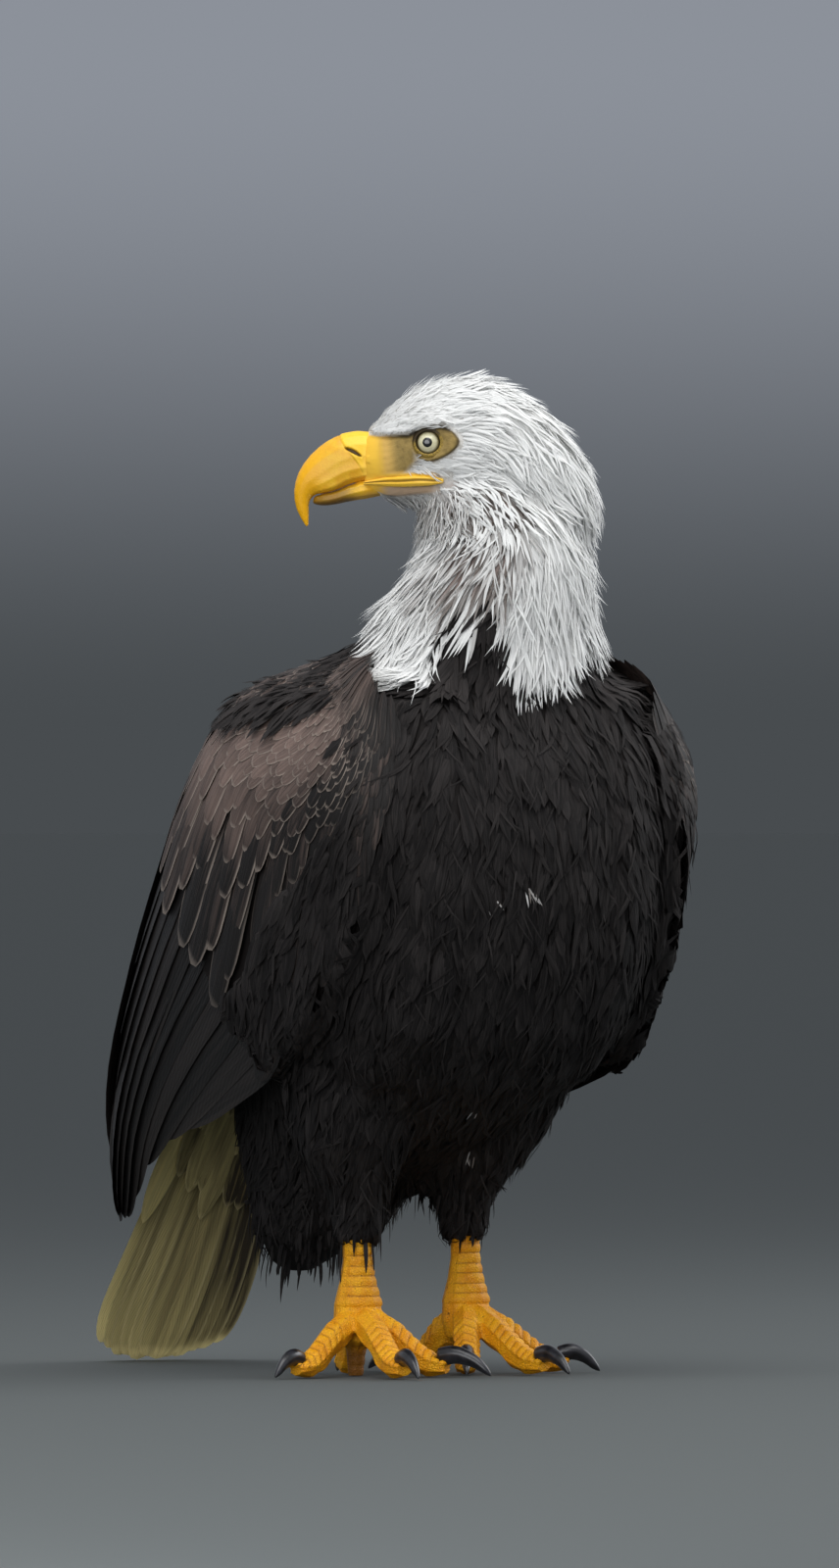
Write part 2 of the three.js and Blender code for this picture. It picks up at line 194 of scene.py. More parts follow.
def build_vane_group():
    """The look of a feather from its own coordinates: strands, a shaft, a rim and wear towards the tip."""
    tree, given, result = group(
        "Feather vane",
        {"Base": "color", "Second": "color", "Rim": "color", "Shaft": "color",
         "Rim Amount": "float", "Strands": "float", "Shaft Amount": "float", "Fineness": "float"},
        {"Color": "color", "Height": "float"},
    )
    vane = put(tree, "ShaderNodeAttribute", attribute_name="vane")
    parts = put(tree, "ShaderNodeSeparateXYZ", {0: vane.outputs["Vector"]})
    across, along, shade = parts.outputs
    tone = painted(tree, "tone")
    rimmed_part = painted(tree, "rimmed")
    width = math_node(tree, "ABSOLUTE", across)
    # Strands fan out from the shaft towards the edges.
    lean = math_node(tree, "SUBTRACT", along, math_node(tree, "MULTIPLY", width, 0.25))
    seeded = math_node(tree, "MULTIPLY", shade, 41.0)
    where = put(tree, "ShaderNodeCombineXYZ", {
        0: math_node(tree, "ADD", math_node(tree, "MULTIPLY", across, given["Fineness"]), seeded),
        1: math_node(tree, "MULTIPLY", lean, 2.2), 2: seeded})
    streak = stretch(tree, noise(tree, where.outputs[0], 1, 3, Roughness=0.6), 0.36, 0.66)
    mixed = math_node(tree, "ADD", math_node(tree, "MULTIPLY", streak, given["Strands"]),
                      math_node(tree, "MULTIPLY", math_node(tree, "SUBTRACT", shade, 0.35), 0.45))
    mixed = math_node(tree, "ADD", mixed, tone)
    body = blend(tree, stretch(tree, mixed, 0.0, 1.0, smooth=False), given["Base"], given["Second"])
    edge = math_node(tree, "MULTIPLY", stretch(tree, width, 0.80, 0.97), stretch(tree, along, 0.35, 0.8))
    end = stretch(tree, along, 0.93, 0.985)
    rim = math_node(tree, "MULTIPLY", math_node(tree, "MAXIMUM", edge, end), given["Rim Amount"])
    rim = math_node(tree, "MULTIPLY", rim, rimmed_part)
    rimmed = blend(tree, rim, body, given["Rim"])
    shaft = math_node(tree, "MULTIPLY", stretch(tree, width, 0.11, 0.02), given["Shaft Amount"])
    tree.links.new(blend(tree, shaft, rimmed, given["Shaft"]), result["Color"])
    barb = put(tree, "ShaderNodeTexWave", {
        "Vector": put(tree, "ShaderNodeCombineXYZ", {0: lean, 1: seeded}).outputs[0],
        "Scale": 9.0, "Distortion": 1.2, "Detail": 1.0}, bands_direction="X")
    height = math_node(tree, "ADD", math_node(tree, "MULTIPLY", streak, 0.7),
                       math_node(tree, "MULTIPLY", barb.outputs["Fac"], 0.3))
    tree.links.new(height, result["Height"])
    return tree


VANE = build_vane_group()


def material(name, roughness, specular=0.4, coat=0.0, coat_roughness=0.1):
    made = bpy.data.materials.new(name)
    made.use_nodes = True
    tree = made.node_tree
    shader = tree.nodes["Principled BSDF"]
    shader.inputs["Roughness"].default_value = roughness
    shader.inputs["Specular IOR Level"].default_value = specular
    shader.inputs["Coat Weight"].default_value = coat
    shader.inputs["Coat Roughness"].default_value = coat_roughness
    return made, tree, shader


def raise_bump(tree, shader, height, distance, strength=0.6):
    bump = put(tree, "ShaderNodeBump", {"Height": height, "Distance": distance, "Strength": strength})
    tree.links.new(bump.outputs["Normal"], shader.inputs["Normal"])


def feather_material(name, base, second, rim=None, shaft=None, rim_amount=0.0, strands=0.5, shaft_amount=0.3,
                     fineness=5.0, roughness=0.62, bump=0.0005, specular=0.3, glow=0.0):
    made, tree, shader = material(name, roughness, specular=specular)
    shader.inputs["Subsurface Weight"].default_value = glow
    shader.inputs["Subsurface Radius"].default_value = (0.008, 0.008, 0.008)
    shader.inputs["Subsurface Scale"].default_value = 1.0
    vane = put(tree, "ShaderNodeGroup", node_tree=VANE)
    for socket, value in {"Base": base, "Second": second, "Rim": rim or second, "Shaft": shaft or second,
                          "Rim Amount": rim_amount, "Strands": strands, "Shaft Amount": shaft_amount,
                          "Fineness": fineness}.items():
        vane.inputs[socket].default_value = value
    tree.links.new(vane.outputs["Color"], shader.inputs["Base Color"])
    raise_bump(tree, shader, vane.outputs["Height"], bump)
    return made


WHITE_COAT = feather_material(
    "White feather", rgb(240, 240, 238), rgb(98, 88, 82), shaft=rgb(252, 252, 251), strands=0.08,
    shaft_amount=0.2, fineness=3.5, roughness=0.85, bump=0.0001, specular=0.1, glow=0.25)
BODY_COAT = feather_material(
    "Black-brown feather", rgb(23, 21, 21), rgb(59, 55, 54), shaft=rgb(16, 14, 14), rim=rgb(76, 69, 65),
    rim_amount=0.14, strands=0.42, fineness=4.0, roughness=0.72, specular=0.14)
COVERT_COAT = feather_material(
    "Covert feather", rgb(27, 24, 23), rgb(136, 115, 106), shaft=rgb(18, 15, 15), rim=rgb(164, 150, 139),
    rim_amount=0.85, strands=0.22, fineness=6.0, roughness=0.58, specular=0.25)
FLIGHT_COAT = feather_material(
    "Flight feather", rgb(20, 18, 18), rgb(50, 44, 42), shaft=rgb(14, 12, 12), rim=rgb(74, 65, 60),
    rim_amount=0.25, strands=0.4, shaft_amount=0.6, fineness=7.0, roughness=0.5, specular=0.28)
TAIL_COAT = feather_material(
    "Tail feather", rgb(255, 234, 160), rgb(60, 53, 42), shaft=rgb(190, 166, 112), rim=rgb(255, 236, 176),
    rim_amount=0.3, strands=0.2, shaft_amount=0.25, fineness=2.4, roughness=0.75, specular=0.15)

# ---- Meshes ---------------------------------------------------------------------------------------


def finish_piece(piece, look, replaces=()):
    piece.data.materials.clear()
    piece.data.materials.append(look)
    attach(piece, "root")
    if replaces:
        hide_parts(*replaces)
    return piece


def select_only(thing):
    bpy.ops.object.select_all(action="DESELECT")
    thing.select_set(True)
    bpy.context.view_layer.objects.active = thing


def merged_copy(name, nodes):
    """One object of copies of solids, with their loose triangles merged."""
    copies = []
    for node in nodes:
        copy = frame["nodes"][node].copy()
        copy.data = copy.data.copy()
        for key in list(copy.keys()):
            del copy[key]
        copy.parent = None
        copy.hide_render = copy.hide_viewport = False
        bpy.context.scene.collection.objects.link(copy)
        copies.append(copy)
    select_only(copies[0])
    for copy in copies:
        copy.select_set(True)
    if len(copies) > 1:
        bpy.ops.object.join()
    joined = bpy.context.view_layer.objects.active
    joined.name = joined.data.name = name
    bpy.ops.object.mode_set(mode="EDIT")
    bpy.ops.mesh.select_all(action="SELECT")
    bpy.ops.mesh.remove_doubles(threshold=1e-6)
    bpy.ops.object.mode_set(mode="OBJECT")
    return joined


def face_outwards(thing):
    select_only(thing)
    bpy.ops.object.mode_set(mode="EDIT")
    bpy.ops.mesh.select_all(action="SELECT")
    bpy.ops.mesh.normals_make_consistent(inside=False)
    bpy.ops.object.mode_set(mode="OBJECT")


def round_blank(name, segments, rings):
    """A ball of radius 1 to be shaped, and the places of its vertices."""
    bpy.ops.mesh.primitive_uv_sphere_add(segments=segments, ring_count=rings, radius=1)
    blank = bpy.context.object
    blank.name = blank.data.name = name
    flat = np.empty(len(blank.data.vertices) * 3)
    blank.data.vertices.foreach_get("co", flat)
    return blank, flat.reshape(-1, 3)


def apply_modifier(thing, kind, **settings):
    select_only(thing)
    added = thing.modifiers.new(kind.title(), kind)
    for key, value in settings.items():
        setattr(added, key, value)
    bpy.ops.object.modifier_apply(modifier=added.name)


def remeshed(name, nodes, voxel, smooth, swell=GAP_FILL):
    """A closed, even and smooth skin over some solids. swell closes the gaps between them."""
    skin = merged_copy(name, nodes)
    if swell:
        apply_modifier(skin, "DISPLACE", strength=swell * MM, mid_level=0.0)
    apply_modifier(skin, "REMESH", mode="VOXEL", voxel_size=voxel * MM)
    apply_modifier(skin, "SMOOTH", factor=0.5, iterations=smooth)
    return skin


def vertices_of(mesh):
    places = np.empty(len(mesh.vertices) * 3)
    mesh.vertices.foreach_get("co", places)
    return to_bird(places.reshape(-1, 3))


def normals_of(mesh):
    normals = np.empty(len(mesh.vertices) * 3)
    mesh.vertices.foreach_get("normal", normals)
    return normals.reshape(-1, 3)


def move_vertices(mesh, places):
    mesh.vertices.foreach_set("co", to_row(places).ravel())
    mesh.update()


def smooth_shade(thing, angle=None):
    select_only(thing)
    if angle is None:
        bpy.ops.object.shade_smooth()
    else:
        bpy.ops.object.shade_smooth_by_angle(angle=math.radians(angle))


def paint(mesh, name, values):
    """A number for each vertex, for a material to read."""
    layer = mesh.attributes.new(name, "FLOAT", "POINT")
    layer.data.foreach_set("value", np.asarray(values, np.float32))


class Surface:
    """A mesh that feathers grow on and follow."""

    def __init__(self, mesh):
        self.places = vertices_of(mesh)
        self.normals = normals_of(mesh)
        mesh.calc_loop_triangles()
        corners = np.empty(len(mesh.loop_triangles) * 3, np.int32)
        mesh.loop_triangles.foreach_get("vertices", corners)
        self.faces = corners.reshape(-1, 3)
        self.tree = BVHTree.FromPolygons(self.places.tolist(), self.faces.tolist())

    def nearest(self, points):
        """The nearest place on the surface to each point, and the smooth normal there."""
        places, faces = np.empty_like(points), np.empty(len(points), np.int32)
        find = self.tree.find_nearest
        for i, point in enumerate(points.tolist()):
            place, _, face, _ = find(point)
            places[i], faces[i] = place, face
        return places, unit(self.normals[self.faces[faces]].mean(1))


def spread_out(points, spacing, order):
    """Indices of points that are at least their own spacing apart, picked in a given order."""
    cell = float(np.max(spacing))
    keys = np.floor(points / cell).astype(int)
    around = [(dx, dy, dz) for dx in (-1, 0, 1) for dy in (-1, 0, 1) for dz in (-1, 0, 1)]
    taken, kept = {}, []
    for i in order:
        kx, ky, kz = keys[i]
        near = [j for dx, dy, dz in around for j in taken.get((kx + dx, ky + dy, kz + dz), ())]
        if not any(np.sum((points[i] - points[j]) ** 2) < spacing[i] ** 2 for j in near):
            taken.setdefault((kx, ky, kz), []).append(i)
            kept.append(i)
    return np.array(kept)


# ---- Skin -----------------------------------------------------------------------------------------

BODY_NODES = ["neck", "trunk"] + [f"{part}_{side}" for part in ("thigh", "wing_coverts") for side in SIDES]
BODY_VOXEL, SKIN_VOXEL = 3.2, 2.95
FACE_BASE = 545  # the height above which the skin is sculpted as a face
BARE_BASE = 540  # the height above which skin may be bare
CREASE = 8.0  # how far the body is swollen and drawn in again, which fills the creases beside the wings


def brow_line(forward):
    """How high the lower edge of the brow lies."""
    return np.interp(forward, [-16, -7, 0, 6, 14, 32, 40], [7.5, 10.6, 10.2, 8.2, 4.8, 3.6, 5.0])


def almond(local):
    """1 on the outline of the bare skin round the eye, which runs to a point behind it, and less within."""
    forward, left, up = local.T
    back = (np.maximum(-forward - 1, 0) / 17.5) ** 1.35 + (np.abs(up - 0.4) / 12.4) ** 1.7
    front = (np.maximum(forward + 1, 0) / 12.5) ** 2 + (np.abs(up) / 12.4) ** 2
    return np.where(forward < -1, back, front)


def bareness(local):
    """1 on the bare skin between the bill and the eye and round the eye, and 0 on feathered skin."""
    forward, left, up = local.T
    fade = 0.9 * np.maximum(0, -12 - up)
    lore = ramp(forward, 5 + fade, 12 + fade) * ramp(up, -24, -20)
    lips = ramp(forward, -10, 2) * ramp(up - 0.1 * (34 - forward), -36.5, -34) * ramp(up, -18, -20)
    under_brow = ramp(up - brow_line(forward), 1.0, -0.4)
    bare = np.maximum(np.maximum(lore, ramp(almond(local), 1.12, 0.98)) * under_brow, lips)
    return np.maximum(bare * ramp(np.abs(left), 6, 11), ramp(forward, 35, 37) * ramp(up, 5.5, 3))


def sculpt_face(local):
    """How far the skin of the face stands out: the brow overhangs a groove that runs from the bill past the eye."""
    forward, left, up = local.T
    over = up - brow_line(forward)
    length = ramp(forward, -17, -8) * ramp(forward, 36, 26)
    ridge = 2.4 * np.exp(-(((over - 2.4) / 2.3) ** 2)) - 1.3 * np.exp(-(((over + 1.2) / 1.2) ** 2))
    round_eye = almond(local)
    rim = 0.5 * np.exp(-(((round_eye - 0.86) / 0.10) ** 2)) - 0.5 * np.exp(-(((round_eye - 1.06) / 0.08) ** 2))
    lip = 0.7 * np.exp(-(((up + 20.6) / 1.5) ** 2)) * ramp(forward, -8, 4) * ramp(forward, 36, 20)
    folds = 0.07 * np.sin(1.5 * up + 0.5 * forward + 1.6 * np.sin(0.32 * forward))
    folds = folds * bareness(local) * ramp(forward, 34, 28)
    return (ridge * length + rim * ramp(forward, 10, 2) + lip + folds) * ramp(np.abs(left), 8, 14)


def coat_depth(points):
    """How deep the coat lies, in millimetres."""
    local = in_head(points)
    forward, left, up = local.T
    x, y, z = points.T
    head = 1.2 + 3.0 * ramp(forward, 12, -70) + 2.0 * ramp(up, -25, -60)
    body = 6.5 - 5.3 * ramp(z, 118, 84)
    on_wing = ramp(np.abs(x) - 0.12 * (y - 60) - 78, 0, 14) * ramp(z, 445, 425)
    body = body * (1 - 0.6 * on_wing)
    share = ramp(z, 548, 515)
    deep = head * (1 - share) + body * share
    bare = bareness(local) * (z > BARE_BASE)
    return deep * (1 - bare) + 0.1


body = remeshed("body", BODY_NODES, BODY_VOXEL, 2, swell=CREASE)
apply_modifier(body, "DISPLACE", strength=(GAP_FILL - CREASE) * MM, mid_level=0.0)
apply_modifier(body, "SMOOTH", factor=0.5, iterations=2)
skin = merged_copy("skin", ["head"])
apply_modifier(skin, "DISPLACE", strength=GAP_FILL * MM, mid_level=0.0)
select_only(skin)
body.select_set(True)
bpy.ops.object.join()
apply_modifier(skin, "REMESH", mode="VOXEL", voxel_size=SKIN_VOXEL * MM)
apply_modifier(skin, "SMOOTH", factor=0.5, iterations=2)
places = vertices_of(skin.data)
move_vertices(skin.data, places - normals_of(skin.data) * coat_depth(places)[:, None])
apply_modifier(skin, "SMOOTH", factor=0.4, iterations=3)
# The face is divided more finely, and its front end runs out thin over the bill.
local = in_head(vertices_of(skin.data))
face = (local[:, 0] > -20) & (np.abs(local[:, 2] + 10) < 26) & (np.abs(local[:, 1]) > 6)
select_only(skin)
skin.data.vertices.foreach_set("select", face)
bpy.ops.object.mode_set(mode="EDIT")
bpy.ops.mesh.select_mode(type="VERT")
bpy.ops.mesh.subdivide(number_cuts=2, smoothness=0.0)
bpy.ops.object.mode_set(mode="OBJECT")
places = vertices_of(skin.data)
places = places + normals_of(skin.data) * (sculpt_face(in_head(places)) * (places[:, 2] > FACE_BASE))[:, None]
local = in_head(places)
tip = ramp(local[:, 0], 32, 36.2) * (places[:, 2] > FACE_BASE)
slim = 1 - 0.075 * tip**2
thin = np.stack([local[:, 0] + 5.5 * tip, local[:, 1] * slim, -12 + (local[:, 2] + 12) * slim], -1)
move_vertices(skin.data, np.where(tip[:, None] > 0, from_head(thin), places))
surface = Surface(skin.data)

# ---- The lie of the coat --------------------------------------------------------------------------

BILL_BASE = np.array([46.0, 0.0, -10.0])  # forward, left, up: the plumage parts from here
NECK_MIDDLE = np.array([2.0, -100.0])


def neck_angle(points):
    """Degrees round the neck from the middle of the breast, positive towards the left wing."""
    return np.degrees(np.arctan2(points[:, 0] - NECK_MIDDLE[0], -(points[:, 1] - NECK_MIDDLE[1])))


# The roots of the white plumage end at these heights round the neck: two long points with a gap between them.
EDGE_ANGLES = [-180, -125, -106, -94, -84, -72, -57, -50, -40, -34, -28, -18, -11, 4, 17, 27, 90, 180]
EDGE_HEIGHTS = [484, 496, 503, 488, 460, 448, 452, 490, 499, 480, 500, 498, 464, 456, 460, 478, 482, 484]


def white_edge(points):
    """The height of the lower edge of the white plumage's roots."""
    angle = neck_angle(points)
    return np.interp(angle, EDGE_ANGLES, EDGE_HEIGHTS) + 3 * np.sin(np.radians(angle * 11))


def lie(points):
    """The way feathers point: back from the bill over the head, down the neck and breast, back along the belly."""
    local = in_head(points)
    forward, left, up = local.T
    x, y, z = points.T
    away = unit(local - BILL_BASE)
    turn_down = 1.5 * ramp(forward, -5, -95) + 0.35 * ramp(up, 10, -40)
    away = away + np.stack([np.zeros(len(x)), 0.1 * left / 30, -turn_down], -1)
    away = away @ np.array([FORWARD, LEFTWARD, UP])
    side = np.sign(x)
    spread = np.clip(np.abs(x) / 90, 0, 1)
    back = 0.42 + 0.35 * ramp(y, 20, 120)
    down = np.stack([0.16 * side * spread * ramp(z, 330, 460), back, -np.ones(len(x))], -1)
    share = ramp(z, 558, 520)[:, None]
    return away * (1 - share) + down * share


# ---- Growing feathers -----------------------------------------------------------------------------


def profile(along, start, end, power):
    """Half width along a feather, from 0 at the root to 1 at its widest and 0 at the tip."""
    along = np.clip(along, 0, 1)
    width = along**start * (1 - along**end) ** power
    return width / width.max()


def vane_mesh(name, spine, out, half_width, camber, rows, top_points, tone, shade, patch, rimmed=1.0, scale=0.003):
    """Joins closed vanes as one mesh. spine and out are (feather, station, xyz), half_width (feather, station).

    The first and last station of each vane is a single point, and patch is where its tuft lies on the unwrap."""
    across = np.append(np.linspace(-1, 1, top_points), 0.0)
    rise = np.append(1 - np.linspace(-1, 1, top_points) ** 2, -0.3)
    size = len(across)
    run = unit(np.gradient(spine, axis=1))
    side = unit(np.cross(run, out))
    wide = half_width[:, 1:-1, None, None]
    rings = spine[:, 1:-1, None] + side[:, 1:-1, None] * wide * across[:, None]
    rings = rings + out[:, 1:-1, None] * wide * camber * rise[:, None]
    count, inner = rings.shape[:2]
    each = inner * size + 2
    points = np.concatenate([spine[:, :1], rings.reshape(count, inner * size, 3), spine[:, -1:]], axis=1)
    k, r = np.meshgrid(np.arange(inner - 1), np.arange(size), indexing="ij")
    following = (r + 1) % size
    first = 1 + k * size
    quads = np.stack([first + r, first + following, first + size + following, first + size + r], -1).reshape(-1, 4)
    turn = np.arange(size)
    root_fan = np.stack([np.zeros(size, int), 1 + (turn + 1) % size, 1 + turn], -1)
    last = 1 + (inner - 1) * size
    tip_fan = np.stack([np.full(size, each - 1), last + turn, last + (turn + 1) % size], -1)
    offsets = (np.arange(count) * each)[:, None, None]
    quads = (quads[None] + offsets).reshape(-1, 4)
    fans = (np.concatenate([root_fan, tip_fan])[None] + offsets).reshape(-1, 3)
    mesh = bpy.data.meshes.new(name)
    mesh.vertices.add(count * each)
    mesh.vertices.foreach_set("co", to_row(points.reshape(-1, 3)).ravel())
    loops = np.concatenate([quads.ravel(), fans.ravel()])
    starts = np.concatenate([np.arange(len(quads)) * 4, len(quads) * 4 + np.arange(len(fans)) * 3])
    mesh.loops.add(len(loops))
    mesh.loops.foreach_set("vertex_index", loops.astype(np.int32))
    mesh.polygons.add(len(starts))
    mesh.polygons.foreach_set("loop_start", starts.astype(np.int32))
    mesh.update(calc_edges=True)
    along = np.concatenate([[0], np.repeat(rows[1:-1], size), [1]])
    sideways = np.concatenate([[0], np.tile(across, inner), [0]])
    vane = np.empty((count, each, 3))
    vane[:, :, 0] = sideways
    vane[:, :, 1] = along
    vane[:, :, 2] = shade[:, None]
    layer = mesh.attributes.new("vane", "FLOAT_VECTOR", "POINT")
    layer.data.foreach_set("vector", vane.reshape(-1).astype(np.float32))
    tone = np.broadcast_to(tone.T, (spine.shape[1], count)).T
    inner_tone = np.repeat(tone[:, 1:-1], size, axis=1)
    paint(mesh, "tone", np.concatenate([tone[:, :1], inner_tone, tone[:, -1:]], axis=1).ravel())
    paint(mesh, "rimmed", np.repeat(np.broadcast_to(rimmed, count), each))
    corner = patch[:, None, :] + np.stack([sideways * 0.5, along], -1)[None] * scale
    mesh.uv_layers.new(name="OFBake").data.foreach_set("uv", corner.reshape(-1, 2)[loops].ravel().astype(np.float32))
    piece = bpy.data.objects.new(name, mesh)
    bpy.context.scene.collection.objects.link(piece)
    smooth_shade(piece, 60)
    return piece


def unwrap_place(points):
    """Where each root lies on an unwrap of the body: the angle round it by the height."""
    angle = np.arctan2(points[:, 0], -(points[:, 1] + 20)) / (2 * math.pi) + 0.5
    return np.stack([0.01 + 0.97 * angle, 0.01 + 0.97 * np.clip(points[:, 2] / 640, 0, 1)], -1)


def grow(name, roots, length, width, look, shape=(0.45, 1.3, 0.8), stations=5, top_points=3, lift=(0.2, 3.0),
         camber=0.35, sway=0.12, clump=None, droop=0.0, tone=0.0, flow=lie, seed=1):
    """Feathers from roots on the skin. Each follows the lie of the coat for its length and rises over the next."""
    rng = np.random.default_rng(seed)
    count = len(roots)
    rows = np.linspace(0, 1, stations + 1)
    length = np.broadcast_to(length, count) * rng.uniform(0.8, 1.2, count)
    width = np.broadcast_to(width, count) * rng.uniform(0.8, 1.2, count)
    spine = np.empty((count, stations + 1, 3))
    out = np.empty_like(spine)
    at, normal = surface.nearest(roots)
    spine[:, 0], out[:, 0] = at, normal
    stray = rng.normal(0, sway, count)
    for k in range(1, stations + 1):
        heading = flow(at)
        heading = unit(heading - normal * np.sum(heading * normal, 1, keepdims=True))
        heading = unit(heading + np.cross(normal, heading) * stray[:, None])
        step = heading * (length / stations)[:, None]
        at, normal = surface.nearest(at + step)
        spine[:, k], out[:, k] = at, normal
    if droop:
        # The last part of a loose feather hangs on where the body bends away under it.
        hang = spine[:, :1] + (spine[:, 2:3] - spine[:, :1]) / rows[2] * rows[None, :, None]
        share = (droop * rows**1.5)[None, :, None]
        spine = spine * (1 - share) + hang * share
    loft = rng.uniform(0.7, 1.3, count)
    if clump is not None:
        reach, pull = clump
        heads = spread_out(roots, np.full(count, reach), rng.permutation(count))
        mate = np.empty(count, int)
        for start in range(0, count, 1500):
            gap = np.linalg.norm(roots[start:start + 1500, None] - roots[None, heads], axis=2)
            mate[start:start + 1500] = heads[gap.argmin(1)]
        goal = spine[mate, -1] + rng.normal(0, 0.8, (count, 3))
        goal = goal + unit(spine[:, -1] - spine[:, -2]) * ((length - length[mate]) * 0.5)[:, None]
        pulled = (goal - spine[:, -1]) * (pull * rng.uniform(0.6, 1.1, count))[:, None]
        spine = spine + pulled[:, None] * (rows**1.6)[None, :, None]
        loft = rng.uniform(0.5, 1.6, count)[mate] * rng.uniform(0.8, 1.2, count)
    low, high = (np.broadcast_to(part, count) for part in lift)
    rise = low[:, None] + (high * loft)[:, None] * rows[None] ** 1.1
    rise[:, 0] = -0.8
    spine = spine + out * rise[..., None]
    half = width[:, None] / 2 * profile(rows, *shape)[None]
    piece = vane_mesh(name, spine, out, half, camber, rows, top_points, np.broadcast_to(tone, count),
                      rng.uniform(0, 1, count), unwrap_place(roots))
    return finish_piece(piece, look)


def sample(spacing, keep, seed, most=60000):
    """Root points on the skin at a spacing that a function gives, where another function keeps them."""
    rng = np.random.default_rng(seed)
    usable = keep(surface.places)[surface.faces].all(1)
    corners = surface.places[surface.faces[usable]]
    a, b, c = corners[:, 0], corners[:, 1], corners[:, 2]
    area = np.linalg.norm(np.cross(b - a, c - a), axis=1) / 2
    chosen = rng.choice(len(area), most, p=area / area.sum())
    u, v = rng.uniform(0, 1, (2, most))
    flip = u + v > 1
    u[flip], v[flip] = 1 - u[flip], 1 - v[flip]
    points = a[chosen] + (b - a)[chosen] * u[:, None] + (c - a)[chosen] * v[:, None]
    return points[spread_out(points, np.broadcast_to(spacing(points), most), range(most))]


# ---- Head and neck coat ---------------------------------------------------------------------------


def on_head(points):
    local = in_head(points)
    mouth = (local[:, 0] > -12) & (np.abs(local[:, 2] + 22) < 4.5)
    return (bareness(local) < 0.35) & (points[:, 2] > 536) & (local[:, 0] < 39.5) & ~mouth


def on_lore_edge(points):
    """The edge of the bare skin of the lores, where it fades into the plumage of the cheek."""
    local = in_head(points)
    forward, left, up = local.T
    bare = bareness(local)
    rear = (forward < 15 - 0.8 * up * (up < -12)) & (almond(local) > 1.02) & (up < 0) & (up > -21)
    return (bare > 0.2) & (bare < 0.75) & (points[:, 2] > FACE_BASE) & (rear | ((up < -29) & (forward < 35)))


def on_neck(points):
    reach = np.hypot(points[:, 0] - NECK_MIDDLE[0], points[:, 1] - NECK_MIDDLE[1])
    return (points[:, 2] <= FACE_BASE) & (points[:, 2] > white_edge(points)) & (reach < 125)


def throat_share(points):
    """1 in the wet streaks of the throat, where the skin shows through."""
    centre = 44 - 10 * ramp(points[:, 2], 525, 500)
    middle = ramp(np.abs(points @ VIEW_RIGHT - centre), 36, 16)
    ahead = (points - np.array([*NECK_MIDDLE, 0])) @ VIEW
    return middle * ramp(points[:, 2], 574, 560) * ramp(points[:, 2], 478, 505) * ramp(ahead, -5, 15)


def streaks(points, seed):
    """From 0 to 1 in soft streaks that run down the neck, mixed with chance."""
    wave = 0.5 + 0.5 * np.sin(0.85 * neck_angle(points) + 1.7 * np.sin(0.085 * points[:, 2]))
    return np.clip(1.5 * (0.6 * wave + 0.4 * np.random.default_rng(seed).uniform(0, 1, len(points))) - 0.2, 0, 1.15)


roots = sample(lambda p: (1.12 + 0.95 * ramp(in_head(p)[:, 0], 18, -70)) * COARSE, on_head, seed=11, most=150000)
local = in_head(roots)
back = ramp(local[:, 0], 22, -75)
low = ramp(local[:, 2], 0, -45)
chance = np.random.default_rng(5).uniform(0, 1, len(roots))
wet = throat_share(roots) * streaks(roots, 6)
grow("head_feathers", roots, 6 + 13 * back + 3 * low, 1.5 + 0.9 * back, WHITE_COAT, stations=4,
     camber=0.12, lift=(0.1, 0.7), sway=0.2, clump=(4.0, 0.3), tone=-0.3 + 0.48 * low + 1.3 * wet, seed=12)
chin = (local[:, 0] > -24) & (local[:, 0] < 33) & (local[:, 2] < -30) & (chance < 0.4)
grow("chin_feathers", roots[chin], 19, 1.1, WHITE_COAT, shape=(0.5, 1.1, 0.9), lift=(0.6, 5.0),
     sway=0.3, clump=(6.0, 0.7), droop=0.9, tone=np.random.default_rng(15).uniform(-0.1, 0.75, chin.sum()), seed=16,
     flow=lambda points: FORWARD * -0.55 + UP * -1.0 + 0 * points)
edge_roots = sample(lambda p: np.full(len(p), 1.7 * COARSE), on_lore_edge, seed=17, most=30000)
grow("lore_bristles", edge_roots, 5.5, 0.8, WHITE_COAT, shape=(0.5, 1.1, 0.9), stations=3,
     lift=(0.4, 1.1), sway=0.35, tone=np.random.default_rng(19).uniform(-0.2, 0.6, len(edge_roots)), seed=18)
nape = roots[(back > 0.3) & (chance < 0.3)]
behind = ramp(in_head(nape)[:, 0], -40, -95)
grow("head_plumes", nape, 20 + 12 * behind, 1.9, WHITE_COAT, shape=(0.5, 1.2, 0.9),
     lift=(0.6, 4.0 + 1.5 * behind), sway=0.26, clump=(9.0, 0.75), droop=0.3, tone=-0.25, seed=13)
wisps = roots[(local[:, 0] < 20) & (chance > 0.92)]
grow("head_wisps", wisps, 16 + 14 * ramp(in_head(wisps)[:, 0], -10, -80), 1.0, WHITE_COAT,
     shape=(0.5, 1.1, 0.9), lift=(0.8, 4.2), sway=0.4, droop=0.5, tone=-0.3, seed=14)

